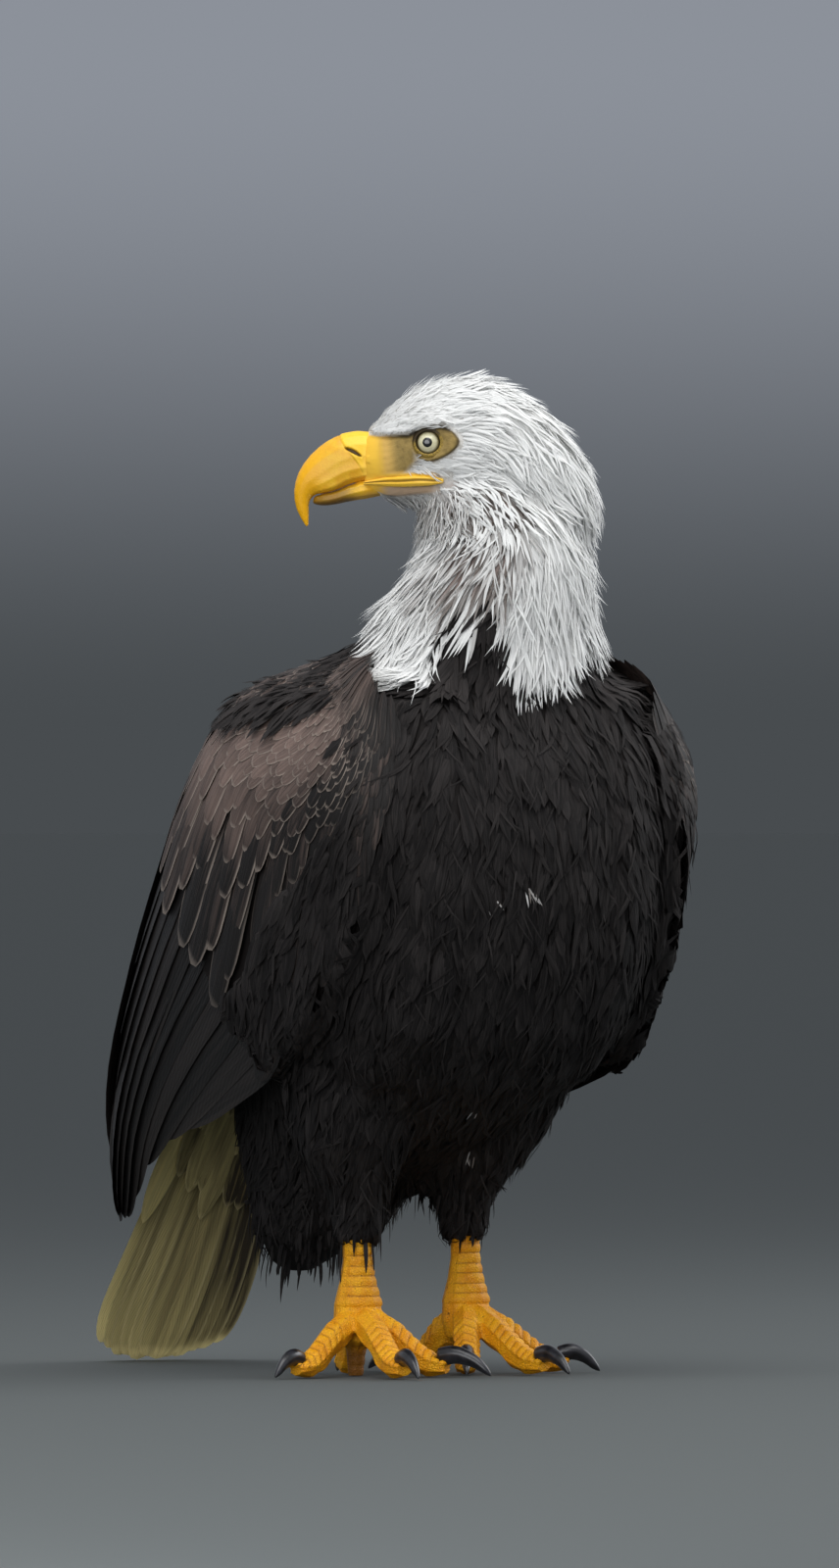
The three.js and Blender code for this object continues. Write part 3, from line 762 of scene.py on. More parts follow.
roots = sample(lambda p: np.full(len(p), 1.95 * COARSE), on_neck, seed=21, most=110000)
wet = throat_share(roots)
chance = np.random.default_rng(23).uniform(0, 1, len(roots))
dull = (0.2 + 0.8 * streaks(roots, 26)) * wet
keep = chance < 1 - 0.62 * wet
roots, wet, dull, chance = roots[keep], wet[keep], dull[keep], np.random.default_rng(27).uniform(0, 1, keep.sum())
angle = neck_angle(roots)
last = ramp(roots[:, 2] - white_edge(roots), 26, 6)  # 1 along the lower edge, where the ends stand out
last = last * (1 + 0.7 * ramp(angle, -52, -64) * ramp(angle, -100, -85))
sleek = ramp(angle, -22, 8)  # the side turned from the bill lies smooth
parted = (angle > -54) & (angle < -17) & (roots[:, 2] < 508)
grow("neck_feathers", roots, 30 + 8 * ramp(roots[:, 2], 540, 490), 2.4 - 0.6 * wet, WHITE_COAT,
     shape=(0.5, 1.3, 0.8), camber=0.16, lift=(0.3, 1.8 + 2.2 * wet + 4.2 * last),
     sway=0.22, clump=(8.0, 0.6 - 0.35 * sleek), tone=-0.25 + 1.15 * dull, seed=22)
keep = (chance < 0.28 - 0.25 * wet - 0.16 * sleek) & ~parted
grow("neck_hackles", roots[keep], 40, 2.1, WHITE_COAT, shape=(0.5, 1.2, 0.9), camber=0.3,
     lift=(1.0, 3.6 + 4.0 * last[keep]), sway=0.26, clump=(13.0, 0.85), droop=0.35,
     tone=-0.25 + 1.2 * dull[keep], seed=24)
keep = (chance > 0.86) & ~parted
grow("neck_wisps", roots[keep], 36, 1.2, WHITE_COAT, shape=(0.5, 1.1, 0.9),
     lift=(1.4, 5.0 + 3.0 * last[keep]), sway=0.45, clump=(11.0, 0.5), droop=0.4,
     tone=-0.3 + 0.9 * dull[keep], seed=25)

# ---- Wings ----------------------------------------------------------------------------------------
# Each folded wing is a sheet from t = 0 at the bend of the wing to t = 1 at the tip, and from s = 0 along the
# back over the corner at s = 0.5 to s = 1 along the lower edge.

WING_BACK = [[52, -66, 462], [56, -18, 458], [58, 34, 436], [55, 80, 394], [44, 119, 347], [32, 160, 300],
             [20, 203, 251], [13, 243, 204], [15, 273, 156], [30, 288, 110]]
WING_CORNER = [[98, -116, 440], [117, -96, 406], [121, -6, 396], [124, 42, 364], [121, 88, 325], [115, 133, 285],
               [105, 180, 240], [92, 226, 190], [77, 260, 140], [60, 285, 98]]
WING_EDGE = [[92, -154, 404], [108, -158, 342], [112, -136, 282], [117, -92, 237], [116, -42, 202], [105, 48, 175],
             [94, 125, 152], [82, 188, 128], [68, 240, 104], [56, 282, 84]]
LEFT_EDGE_FORWARD = [0, 0, 4, 14, 34, 36, 16, 0, 0, 0]
WING_THICKNESS = [15, 24, 26, 24, 20, 16, 12, 9, 7, 4]


def rail(points, t):
    """A smooth curve through evenly numbered points, carried straight on past its ends."""
    points = np.asarray(points, float)
    if points.ndim == 1:
        points = points[:, None]
    last = len(points) - 1
    padded = np.vstack([2 * points[0] - points[1], points, 2 * points[-1] - points[-2]])
    at = np.asarray(t, float) * last
    k = np.clip(np.floor(at).astype(int), 0, last - 1)
    w = np.clip(at - k, 0, 1)[..., None]
    a, b, c, d = (padded[k + i] for i in range(4))
    curve = b + w / 2 * (c - a + w * (2 * a - 5 * b + 4 * c - d + w * (3 * b - a - 3 * c + d)))
    over = (at - np.clip(at, 0, last))[..., None]
    slope = np.where(over < 0, points[1] - points[0], points[-1] - points[-2])
    return curve + over * slope


def wing_place(side, t, s):
    back, corner, edge = rail(WING_BACK, t), rail(WING_CORNER, t), rail(WING_EDGE, t)
    if side == "left":
        edge = edge - rail(LEFT_EDGE_FORWARD, t) * np.array([0, 1, 0])
    control = 2 * corner - (back + edge) / 2
    s = np.asarray(s)[..., None]
    place = back * (1 - s) ** 2 + control * 2 * s * (1 - s) + edge * s**2
    return place * np.array([SIDES[side], 1, 1])


def wing_depth(t, s):
    return rail(WING_THICKNESS, t)[..., 0] * (1 - 0.75 * (2 * s - 1) ** 4) * (1 - 0.5 * (1 - t) ** 8)


def sheet_normals(place, t, s, flip):
    along = place(t + 0.004, s) - place(t - 0.004, s)
    sideways = place(t, s + 0.004) - place(t, s - 0.004)
    return unit(np.cross(along, sideways)) * flip


def lay_vanes(name, place, flip, root, tip, rise, width, look, shape, stations=14, top_points=5, camber=0.12,
              tilt=0.0, tone=0.0, rimmed=1.0, variety=1.0, seed=1):
    """Large vanes laid over a sheet, each from a root (t, s) to a tip (t, s), raised by rise(t, s) over the sheet."""
    rng = np.random.default_rng(seed)
    root, tip = np.asarray(root, float), np.asarray(tip, float)
    count = len(root)
    rows = 1 - (1 - np.linspace(0, 1, stations + 1)) ** 1.6
    path = root[:, None] + (tip - root)[:, None] * rows[None, :, None]
    t, s = path[..., 0], path[..., 1]
    out = sheet_normals(place, t, s, flip)
    spine = place(t, s) + out * rise(t, s, rows[None])[..., None]
    run = unit(np.gradient(spine, axis=1))
    side = unit(np.cross(run, out))
    lean = np.radians(np.broadcast_to(tilt, count) + rng.normal(0, 1.2, count))[:, None, None]
    leaned = out * np.cos(lean) + side * np.sin(lean)
    half = np.broadcast_to(width, count)[:, None] / 2 * profile(rows, *shape)[None]
    tone = tone(t, s) if callable(tone) else np.broadcast_to(tone, count)
    shade = 0.35 + variety * rng.uniform(-0.35, 0.65, count)
    piece = vane_mesh(name, spine, leaned, half, camber, rows, top_points, tone, shade,
                      unwrap_place(spine[:, 0]), rimmed)
    return finish_piece(piece, look)


def wing_flip(side):
    """Makes the sheet's normals point away from the body."""
    place = lambda t, s: wing_place(side, t, s)
    normal = sheet_normals(place, np.array([0.4]), np.array([0.5]), 1)[0]
    return 1 if normal[0] * SIDES[side] > 0 else -1


def wing_gap(points):
    """How far each point lies from the outside of the folded wings, and the t and s there."""
    t, s = (grid.ravel() for grid in np.meshgrid(np.linspace(-0.02, 0.5, 54), np.linspace(0, 1, 60), indexing="ij"))
    cover = []
    for side in SIDES:
        place = lambda t, s, side=side: wing_place(side, t, s)
        cover.append(place(t, s) + sheet_normals(place, t, s, wing_flip(side)) * (wing_depth(t, s) / 2 - 2)[:, None])
    cover = np.concatenate(cover)
    tree = KDTree(len(cover))
    for i, point in enumerate(cover.tolist()):
        tree.insert(point, i)
    tree.balance()
    found = [tree.find(point)[1:] for point in points.tolist()]
    index = np.array([i for i, _ in found]) % len(t)
    return np.array([gap for _, gap in found]), t[index], s[index]


# ---- Body coat ------------------------------------------------------------------------------------


def on_body(points):
    white = (points[:, 2] > white_edge(points) - 2) & (np.hypot(points[:, 0], points[:, 1] + 100) < 120)
    return (points[:, 2] > 92) & ~white & (points[:, 2] < 520)


def body_spacing(points):
    z = points[:, 2]
    return (6.2 - 1.6 * ramp(z, 190, 110) - 1.2 * ramp(z, 400, 470)) * COARSE


roots = sample(body_spacing, on_body, seed=31, most=90000)
gap, t, s = wing_gap(roots)
over_wing = (gap < 12) & (roots[:, 2] < white_edge(roots) - 32)
inside = (t > 0.035) & (t < 0.49) & (s > 0.04) & (s < 0.86)
keep = ~inside | (gap > 15)
roots, over_wing = roots[keep], over_wing[keep]
z = roots[:, 2]
rng = np.random.default_rng(34)
chance = rng.uniform(0, 1, len(roots))
upper = ramp(z, 330, 430)
long = 27 + 6 * ramp(z, 460, 380) - 8 * ramp(z, 200, 110)
grow("body_feathers", roots, long, 7.8 - 2.2 * ramp(z, 200, 120) - 3.4 * ramp(z, 410, 455), BODY_COAT,
     shape=(0.5, 1.7, 0.7), camber=0.22, lift=(0.4 + 4.6 * over_wing, 2.8), sway=0.2,
     clump=(11.0, 0.5 - 0.3 * ramp(z, 395, 430)), tone=-0.05 + 0.12 * upper, seed=32)
keep = chance < 0.75
grow("body_plumes", roots[keep], 30 - 8 * ramp(z[keep], 200, 110), 3.0, BODY_COAT,
     shape=(0.5, 1.3, 0.8), camber=0.3, lift=(1.2 + 4.6 * over_wing[keep], 3.6), sway=0.34, clump=(12.0, 0.85),
     tone=(-0.05 + 0.12 * upper)[keep] + rng.uniform(-0.1, 0.2, keep.sum()), seed=33)
keep = chance > 0.7
grow("body_wisps", roots[keep], 24, 1.3, BODY_COAT, shape=(0.5, 1.1, 0.9), lift=(2.0, 4.4),
     sway=0.6, clump=(9.0, 0.5), tone=rng.uniform(-0.1, 0.4, keep.sum()), seed=35)

# Scapulars drape over the shoulder, and their wet ends hang over the smallest coverts.


def on_shoulder(points):
    x, y, z = points.T
    low = 424 + 12 * ramp(-y, 60, 130)
    return (np.abs(x) > 38) & (z > low) & (z < 468) & (y > -150) & (y < 60) & (z < white_edge(points) - 30)


roots = sample(lambda p: np.full(len(p), 6.0 * COARSE), on_shoulder, seed=41)
grow("scapulars", roots, 28, 8.5, BODY_COAT, shape=(0.45, 2.2, 0.7), stations=6, camber=0.25,
     lift=(3.4, 5.0), sway=0.2, clump=(13.0, 0.5), tone=0.4, seed=42)
grow("scapular_ends", roots, 28, 3.0, BODY_COAT, shape=(0.5, 1.5, 0.8), stations=6, camber=0.3,
     lift=(4.4, 5.4), sway=0.3, clump=(12.0, 0.8), tone=0.42, seed=43)


# Long wet ends hang from the thighs and the vent.


def on_fringe(points):
    return (points[:, 2] < 122) & (points[:, 2] > 66)


roots = sample(lambda p: np.full(len(p), 6.5 * COARSE), on_fringe, seed=45)
rng = np.random.default_rng(46)
count = len(roots)
rows = np.linspace(0, 1, 8)
stray = rng.uniform(0, 1, count) > 0.95
length = np.where(stray, rng.uniform(30, 56, count), 5 + 19 * rng.uniform(0, 1, count) ** 2)
start, normal = surface.nearest(roots)
length = np.minimum(length, (start[:, 2] - 34) * 1.1)
fall = unit(normal * np.array([1, 1, 0]) * 0.05 + np.array([0, 0.12, -1.0]) + rng.normal(0, 0.06, (count, 3)))
spine = (start - normal * 1.5)[:, None] + fall[:, None] * length[:, None, None] * rows[None, :, None]
spine = spine + normal[:, None] * (2.2 * np.sin(rows * 2.2))[None, :, None]
out = np.broadcast_to(normal[:, None], spine.shape)
half = np.where(stray, 1.3, rng.uniform(0.7, 1.7, count))[:, None] * profile(rows, 0.4, 1.2, 1.0)[None]
fringe = vane_mesh("fringe", spine, out, half, 0.5, rows, 3, rng.uniform(-0.1, 0.1, count), rng.uniform(0, 1, count),
                   unwrap_place(roots))
finish_piece(fringe, BODY_COAT)

# A few white tufts show through the wet breast and thighs: how far to the right of the middle and how high each
# group lies as seen along VIEW, how many roots it has, and how far they spread.
FLECKS = [(73, 303, 8, 5), (48, 296, 3, 8), (40, 166, 3, 6), (37, 133, 4, 6)]
rng = np.random.default_rng(48)
roots = []
for across, height, amount, reach in FLECKS:
    for _ in range(amount):
        start = VIEW * 600 + VIEW_RIGHT * (across + rng.normal(0, reach * 0.5))
        start = start + UP * (height + rng.normal(0, reach * 0.3) + 8)
        hit = surface.tree.ray_cast(start.tolist(), (-VIEW).tolist())
        if hit[0] is not None:
            roots.append(list(hit[0]))
grow("white_flecks", np.array(roots), 10, 1.1, WHITE_COAT, shape=(0.6, 1.3, 0.9), lift=(1.8, 3.2),
     sway=0.7, clump=(5.0, 0.5), tone=rng.uniform(0.2, 1.0, len(roots)), seed=49)

# ---- Flight feathers and coverts ------------------------------------------------------------------


def warm_band(points):
    """1 in the band of worn, warm brown small coverts that runs from the bend of the wing up to its back, else 0."""
    across = np.abs(points[:, 0]) * -0.883 + points[:, 1] * -0.469
    low = points[:, 2] - 420 - 0.83 * (across + 40)
    top = ramp(low + 0.6 * (across + 45), 16, -2)
    return ramp(low, -50, -14) * top * ramp(across, -30, -56) * ramp(across, -162, -142)


def covert_tone(side, shades):
    """The tone of each covert: dark, and warm in the band."""
    def tone(t, s):
        points = wing_place(side, t, np.clip(s, 0, 1)).reshape(-1, 3)
        warm = warm_band(points).reshape(t.shape) * ramp(t, 0.36, 0.26)
        run = 1 - (1 - np.linspace(0, 1, t.shape[1])) ** 1.6
        return (0.55 + 1.0 * (run - 0.93)) * warm + 0.12 + shades[:, None] - 0.3 * ramp(s, 0.55, 0.75)
    return tone


for number, side in enumerate(SIDES):
    rng = np.random.default_rng(50 + number)
    place = lambda t, s, side=side: wing_place(side, t, s)
    flip = wing_flip(side)
    lean = -flip * SIDES[side]
    # Secondaries from the back down to the lower edge. The inner ones lie on top.
    count = 14
    s = np.linspace(0.05, 0.70, count)
    root = np.stack([np.full(count, 0.33), s * 0.96], -1)
    tip = np.stack([0.93 - 0.22 * ramp(s, 0.30, 0.72) + rng.normal(0, 0.008, count), s + 0.02], -1)
    layer = np.linspace(3.2, 0.6, count)[:, None]
    lay_vanes(f"secondaries_{side}_vanes", place, flip, root, tip,
              lambda t, s, rows, layer=layer: 0.30 * wing_depth(t, np.clip(s, 0, 1)) * (1 - rows) + layer,
              np.full(count, 44.0), FLIGHT_COAT, (0.2, 5.0, 0.45), tilt=3.5 * lean, camber=0.09,
              tone=rng.uniform(0.0, 0.25, count), seed=51 + number)
    count = 9
    s = np.linspace(0.60, 0.985, count)
    root = np.stack([np.full(count, 0.36), s * 0.99], -1)
    reach = 0.99 - 0.30 * ramp(s, 0.74, 1.0) ** 1.3 + rng.normal(0, 0.006, count)
    tip = np.stack([reach, s - 0.05 * ramp(s, 0.9, 1)], -1)
    layer = np.linspace(0.2, -2.6, count)[:, None]
    lay_vanes(f"primaries_{side}_vanes", place, flip, root, tip,
              lambda t, s, rows, layer=layer: 0.25 * wing_depth(t, np.clip(s, 0, 1)) * (1 - rows) + layer,
              np.full(count, 44.0), FLIGHT_COAT, (0.2, 4.0, 0.5), tilt=2.5 * lean, camber=0.07,
              tone=rng.uniform(-0.1, 0.1, count), seed=53 + number)
    for node in ("secondaries", "primaries"):
        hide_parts(f"wing_{node}_{side}")
    # Coverts in rows, each row lying over the roots of the next: t at the tips, length in t, s step, width.
    covert_rows = [(0.480, 0.25, 0.078, 31), (0.425, 0.23, 0.074, 29), (0.365, 0.19, 0.068, 26),
                   (0.315, 0.16, 0.062, 23), (0.274, 0.135, 0.056, 20.5), (0.241, 0.115, 0.051, 18.5)]
    t1 = 0.216
    while t1 > 0.02:
        small = ramp(t1, 0.2, 0.1)
        covert_rows.append((t1, 0.085 - 0.02 * small, 0.044 - 0.009 * small, 16 - 5 * small))
        t1 -= 0.0175 - 0.0035 * small
    for row, (t1, reach, step, width) in enumerate(covert_rows):
        s = np.arange(0.012 + step * 0.5 * (row % 2), 0.992, step)
        s = s + rng.normal(0, step * 0.12, len(s))
        count = len(s)
        t = t1 + rng.normal(0, 0.005, count)
        reach = reach * rng.uniform(0.92, 1.08, count)
        toward = 0.09 + 0.03 * ramp(t1, 0.1, 0.3)
        root = np.stack([t - reach, s - toward * 0.5], -1)
        tip = np.stack([t, np.minimum(s + toward * 0.5, 0.995)], -1)
        level = 1.5 + 0.16 * (row - 6) if row > 6 else 0.25 * row
        plain = np.maximum(ramp(s, 0.72, 0.88), 0.6 * ramp(t1, 0.09, 0.05))
        lay_vanes(f"coverts_{side}_{row}", place, flip, root, tip,
                  lambda t, s, rows, level=level: 0.5 * wing_depth(t, np.clip(s, 0, 1)) - 2.8 + level + 2.6 * rows,
                  width * rng.uniform(0.92, 1.08, count), COVERT_COAT, (0.35, 5.0, 0.5),
                  stations=9, camber=0.13, tilt=3.5 * lean, tone=covert_tone(side, rng.uniform(-0.12, 0.12, count)),
                  rimmed=(1 - plain) * rng.uniform(0.65, 1.0, count), variety=0.4, seed=60 + row + 30 * number)

# ---- Tail -----------------------------------------------------------------------------------------

TAIL_SPINE = [[0, 176, 262], [0, 210, 214], [0, 246, 162], [0, 280, 112], [0, 312, 67], [0, 343, 29], [0, 365, 1]]
TAIL_HALF_WIDTH = [32, 37, 43, 49, 52, 51, 44]
TAIL_THICKNESS = [44, 36, 26, 18, 13, 9, 6]


def tail_place(t, s):
    across = 2 * np.asarray(s) - 1
    spine = rail(TAIL_SPINE, t * (1 - 0.1 * np.abs(across) ** 4))
    wide = rail(TAIL_HALF_WIDTH, t)[..., 0]
    return spine + np.stack([across * wide, -6 * across**2, np.zeros_like(across)], -1)


def tail_soil_and_shade(t, s):
    """How dark the tail is painted, partly as soil and partly as painted shade from the body: darker towards its root
    and its left side, and clean towards its right edge and its tips.
    """
    inner = ramp(s, 0.03, 0.17)
    soiled_and_shaded = inner * (0.60 + 0.24 * ramp(t, 0.95, 0.6)) * ramp(t, 1.0, 0.93)
    soiled_and_shaded = soiled_and_shaded + 0.45 * ramp(s, 0.4, 0.75) * ramp(t, 1.0, 0.9)
    return soiled_and_shaded - 0.35 + 0.45 * ramp(t, 0.985, 0.997)


rng = np.random.default_rng(70)
count = 12
s = (np.arange(count) + 0.5) / count
from_middle = np.abs(2 * s - 1)
root = np.stack([np.full(count, 0.02), 0.5 + (s - 0.5) * 0.5], -1)
tip = np.stack([0.996 - 0.012 * from_middle + rng.normal(0, 0.006, count), 0.5 + (s - 0.5) * 0.92], -1)
tail_piece = lay_vanes("tail_vanes", tail_place, 1, root, tip,
                       lambda t, s, rows: (1.8 - 3.6 * from_middle)[:, None] + 0 * t, np.full(count, 27.0), TAIL_COAT,
                       (0.16, 9.0, 0.4), stations=18, camber=0.06, tilt=np.sign(s - 0.5) * 2.5,
                       tone=tail_soil_and_shade, variety=0.4, seed=71)
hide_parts("tail")
TAIL_COVERTS = [(0.22, 0.30, 22), (0.12, 0.30, 20), (0.03, 0.28, 18), (-0.05, 0.24, 16)]  # root, reach, width
# The under coverts are painted a little darker than the over coverts, as painted shade under the body.
for label, flip, tone in (("under", -1, 0.15), ("over", 1, 0.0)):
    for row, (t0, reach, width) in enumerate(TAIL_COVERTS):
        s = np.arange(0.08 + 0.05 * (row % 2), 0.95, 0.1)
        count = len(s)
        root = np.stack([t0 + rng.normal(0, 0.02, count), s + rng.normal(0, 0.012, count)], -1)
        tip = root + np.stack([reach * rng.uniform(0.7, 1.2, count), rng.normal(0, 0.03, count)], -1)
        lay_vanes(f"tail_coverts_{label}_{row}", tail_place, flip, root, tip,
                  lambda t, s, rows, row=row: 0.5 * rail(TAIL_THICKNESS, t)[..., 0] * (1 - 0.6 * (2 * s - 1) ** 2)
                  - 3.5 + 1.6 * rows + row * 0.5,
                  np.full(count, float(width)), TAIL_COAT, (0.4, 2.5, 0.7), stations=8, camber=0.2,
                  tone=lambda t, s, tone=tone: tone + tail_soil_and_shade(t, s), seed=72 + row)

# ---- Rump -----------------------------------------------------------------------------------------
# It fills the space between the trunk and the root of the tail, and its feathers lie over the tail coverts' roots.

RUMP_SPINE = [[0, 116, 296], [0, 133, 291], [0, 153, 290], [0, 174, 291], [0, 190, 280], [0, 204, 262]]
RUMP_HALF_WIDTH = [40, 40, 38, 30, 22, 16]


def rump_place(t, s):
    across = 2 * np.asarray(s) - 1
    wide = rail(RUMP_HALF_WIDTH, t)[..., 0]
    return rail(RUMP_SPINE, t) + np.stack([across * wide, -4 * across**2, -9 * across**2], -1)


rump, ball = round_blank("rump", 48, 24)
ball[:, 0] *= 46 - 14 * ball[:, 1]  # it narrows towards the tail
move_vertices(rump.data, np.array([0, 158, 264]) + ball * np.array([1, 38, 20]))
smooth_shade(rump)
finish_piece(rump, BODY_COAT)
chance = np.random.default_rng(76)
for row, t0 in enumerate([0.66, 0.5, 0.34, 0.18, 0.02]):
    s = np.arange(0.02 + 0.035 * (row % 2), 1.0, 0.07)
    count = len(s)
    root = np.stack([t0 + chance.normal(0, 0.015, count), s + chance.normal(0, 0.012, count)], -1)
    tip = root + np.stack([0.3 * chance.uniform(0.8, 1.1, count), chance.normal(0, 0.03, count)], -1)
    lay_vanes(f"rump_coverts_{row}", rump_place, -1, root, tip, lambda t, s, rows, row=row: 1.8 * rows + 0.5 * row,
              np.full(count, 7.0), BODY_COAT, (0.4, 2.5, 0.7), stations=8, camber=0.2,
              tone=lambda t, s: 0.1 + 0 * t, seed=77 + row)

# ---- Bill and gape --------------------------------------------------------------------------------


def horn_look(name, roughness, coat):
    """Yellow horn: paler and pinker in the middle of the bill, deeper at its tip and on the cere."""
    made, tree, shader = material(name, roughness, specular=0.4, coat=coat, coat_roughness=0.25)
    cere = painted(tree, "cere")
    rear = painted(tree, "rear")
    deep = painted(tree, "deep")
    dark = painted(tree, "dark")
    spot = own_place(tree)
    cloud = noise(tree, spot, 140, 5)
    fine = noise(tree, spot, 900, 3)
    mid = blend(tree, stretch(tree, cloud, 0.3, 0.7), rgb(237, 185, 40), rgb(229, 166, 32))
    horn = blend(tree, deep, mid, rgb(242, 176, 4))
    whole = blend(tree, cere, horn, rgb(252, 202, 44))
    whole = blend(tree, rear, whole, rgb(245, 198, 82))
    speck = math_node(tree, "MULTIPLY", stretch(tree, fine, 0.6, 0.78), 0.25)
    soiled = blend(tree, speck, whole, rgb(120, 92, 40))
    # dark paints shade into the nostril and the line of the mouth, and darkens the lower bill towards its lower edge
    # and its tip.
    tree.links.new(blend(tree, dark, soiled, rgb(58, 40, 26)), shader.inputs["Base Color"])
    raise_bump(tree, shader, fine, 0.00025)
    return made


BILL_LOOK = horn_look("Yellow horn", 0.42, 0.12)


def shape_horn(node, voxel, smooth, form, name):
    horn = merged_copy(name, [node])
    apply_modifier(horn, "REMESH", mode="VOXEL", voxel_size=voxel * MM * 1.0)
    apply_modifier(horn, "SMOOTH", factor=0.5, iterations=smooth)
    places = vertices_of(horn.data)
    local = in_head(places)
    warped, push, marks = form(local)
    move_vertices(horn.data, from_head(warped) + normals_of(horn.data) * push[:, None])
    for key, values in marks.items():
        paint(horn.data, key, values)
    smooth_shade(horn)
    return horn


UPPER_TOP = ([36.5, 47, 58, 68, 77.9, 84], [7.9, 7.4, 5, -0.6, -10.2, -20.8])  # forward, up
UPPER_BOTTOM = ([36.5, 45, 52, 58, 66, 72.5, 76], [-23.6, -24.8, -26.8, -29.7, -32, -33, -37])
LOWER_TOP = ([36.5, 48, 56, 64, 70, 73.6], [-24.8, -27.3, -30.9, -33.4, -34.6, -36.6])
LOWER_BOTTOM = ([36.5, 48, 58, 66, 71, 74], [-35.2, -36.6, -38.8, -39.8, -39.4, -38.2])


def squared(height, power=3.4):
    """How much wider a squared section is than an oval one, at a height of -1 to 1 within it."""
    height = np.clip(np.abs(height), 0, 0.985)
    return (1 - height**power) ** (1 / power) / np.sqrt(1 - height**2)


def cere_edge(up):
    """How far forward the cere reaches at a height."""
    return 57.0 - 15.5 * ramp(up, 6, -23)


def form_upper(local):
    forward, left, up = local.T
    cere = ramp(cere_edge(up) - forward, -0.4, 0.9)
    groove_and_shade = np.exp(-(((forward - cere_edge(up)) / 0.9) ** 2))
    along = ((forward - 48.2) * 0.88 + (up + 5.6) * 0.47) / 5.6
    over = ((up + 5.6) * 0.88 - (forward - 48.2) * 0.47 + 0.4 * along**2) / 1.15
    slit = ramp(along**2 + over**2, 1.5, 0.5) * ramp(np.abs(left), 6, 9)
    tomium = np.exp(-(((up + 24.5 + 0.14 * (forward - 36)) / 2.2) ** 2)) * ramp(forward, 70, 60)
    push = (0.5 * cere + 0.2) * ramp(forward, 40, 46) - 0.2 - 0.15 * groove_and_shade - 3.0 * slit + 0.3 * tomium
    deep = ramp(forward, 62, 80)
    # Painted shade: dark in the hollow of the nostril, and a little in the groove at the edge of the cere.
    dark = np.clip(slit * 1.2 + 0.05 * groove_and_shade, 0, 0.95)
    # Its base runs on under the plumage of the forehead and lores.
    tuck = ramp(forward, 40.5, 36.8)
    top, bottom = np.interp(forward, *UPPER_TOP), np.interp(forward, *UPPER_BOTTOM)
    height = (up - (top + bottom) / 2) / (top - bottom) * 2
    wide = 1 + (squared(np.clip(height, -1, 0)) - 1) * ramp(forward, 78, 66)
    warped = np.stack([forward - 5.0 * tuck, left * wide * (1 - 0.16 * tuck), up - 1.5 * tuck * ramp(up, 0, 8)], -1)
    rear = 0.8 * ramp(forward, 46, 38) * ramp(up, 3, -8)
    return warped, push, {"cere": cere, "deep": deep, "dark": dark, "rear": rear}


def form_lower(local):
    """The lower bill shuts into the upper, and its rear runs on under the skin of the chin."""
    forward, left, up = local.T
    top, bottom = np.interp(forward, *LOWER_TOP), np.interp(forward, *LOWER_BOTTOM)
    share = np.clip((up - bottom) / (top - bottom), 0, 1)
    tuck = ramp(forward, 41, 37)
    wide = squared(np.clip(2 * share - 1, 0, 1)) * (1 - 0.1 * tuck)
    high = up + 2.2 * share**2 + 1.8 * tuck * (1 - share)
    warped = np.stack([forward - 7.0 * tuck, left * (wide - 0.1 * tuck), high], -1)
    # Darker towards the lower edge of the lower bill and towards its tip.
    darker_edge_and_tip = np.clip(0.4 * ramp(share, 0.6, 0.1) + 0.62 * ramp(forward, 42, 56), 0, 0.85)
    return warped, 0 * up, {"cere": 0.3 * ramp(forward, 60, 46), "deep": 0.4 * ramp(forward, 45, 60), "dark": darker_edge_and_tip,
                            "rear": 0 * up}


def form_gape(local):
    """Two rolled lips with the line of the mouth between them, which run out into the edges of the bill."""
    forward, left, up = local.T
    middle = -24.1 - 0.7 * ramp(forward, 14, 36) + 0.3 * np.sin(forward * 0.25)
    groove_and_shade = np.exp(-(((up - middle) / 0.75) ** 2)) * ramp(forward, -9.2, -5)
    fore = ramp(forward, 14, 35.6)
    out = np.interp(forward, [-8.6, 2, 14, 26, 35.6], [30, 28.6, 24.6, 19.6, 14.5])
    side = np.abs(left)
    end = ramp(forward, 24, 36)
    aside = out - 0.4 * fore**2 - 2.9 * end**2 + (side - out) * (1 - 0.5 * fore)
    flat = middle + (up - middle) * (1 - 0.25 * fore - 0.45 * end)
    warped = np.stack([forward + 5.5 * end, np.sign(left) * aside, flat - 0.8 * end], -1)
    # The line of the mouth is painted dark, as painted shade in its groove.
    marks = {"cere": 0.75 + 0 * up, "deep": 0 * up, "dark": 0.7 * groove_and_shade, "rear": 0.3 + 0.6 * end}
    return warped, 0.3 - 1.5 * groove_and_shade, marks


finish_piece(shape_horn("bill_upper", 0.55, 14, form_upper, "bill_upper_horn"), BILL_LOOK, ["bill_upper"])
finish_piece(shape_horn("bill_lower", 0.6, 8, form_lower, "bill_lower_horn"), BILL_LOOK, ["bill_lower"])
for side in SIDES:
    lips = shape_horn(f"gape_{side}", 0.45, 6, form_gape, f"gape_{side}_lip")
    finish_piece(lips, BILL_LOOK, [f"gape_{side}"])

# ---- Eyes -----------------------------------------------------------------------------------------

EYE_RADIUS = 9.2
EYE_APART = 25.6
EYE_SLANT = math.radians(9)  # forward of straight out


def eye_look():
    made, tree, shader = material("Pale eye", 0.25, specular=0.5, coat=1.0, coat_roughness=0.02)
    out = painted(tree, "out")
    around = painted(tree, "around")
    where = put(tree, "ShaderNodeCombineXYZ", {0: math_node(tree, "MULTIPLY", around, 22.0), 1: out})
    fibre = noise(tree, where.outputs[0], 1.6, 3)
    iris = blend(tree, stretch(tree, fibre, 0.3, 0.7), rgb(242, 236, 202), rgb(214, 204, 160))
    iris = blend(tree, stretch(tree, out, 5.2, 6.9), iris, rgb(120, 104, 60))
    ringed = blend(tree, stretch(tree, out, 6.7, 7.2), iris, rgb(22, 18, 14))
    pupil = stretch(tree, out, 3.25, 2.95)
    tree.links.new(blend(tree, pupil, ringed, rgb(4, 4, 5)), shader.inputs["Base Color"])
    return made


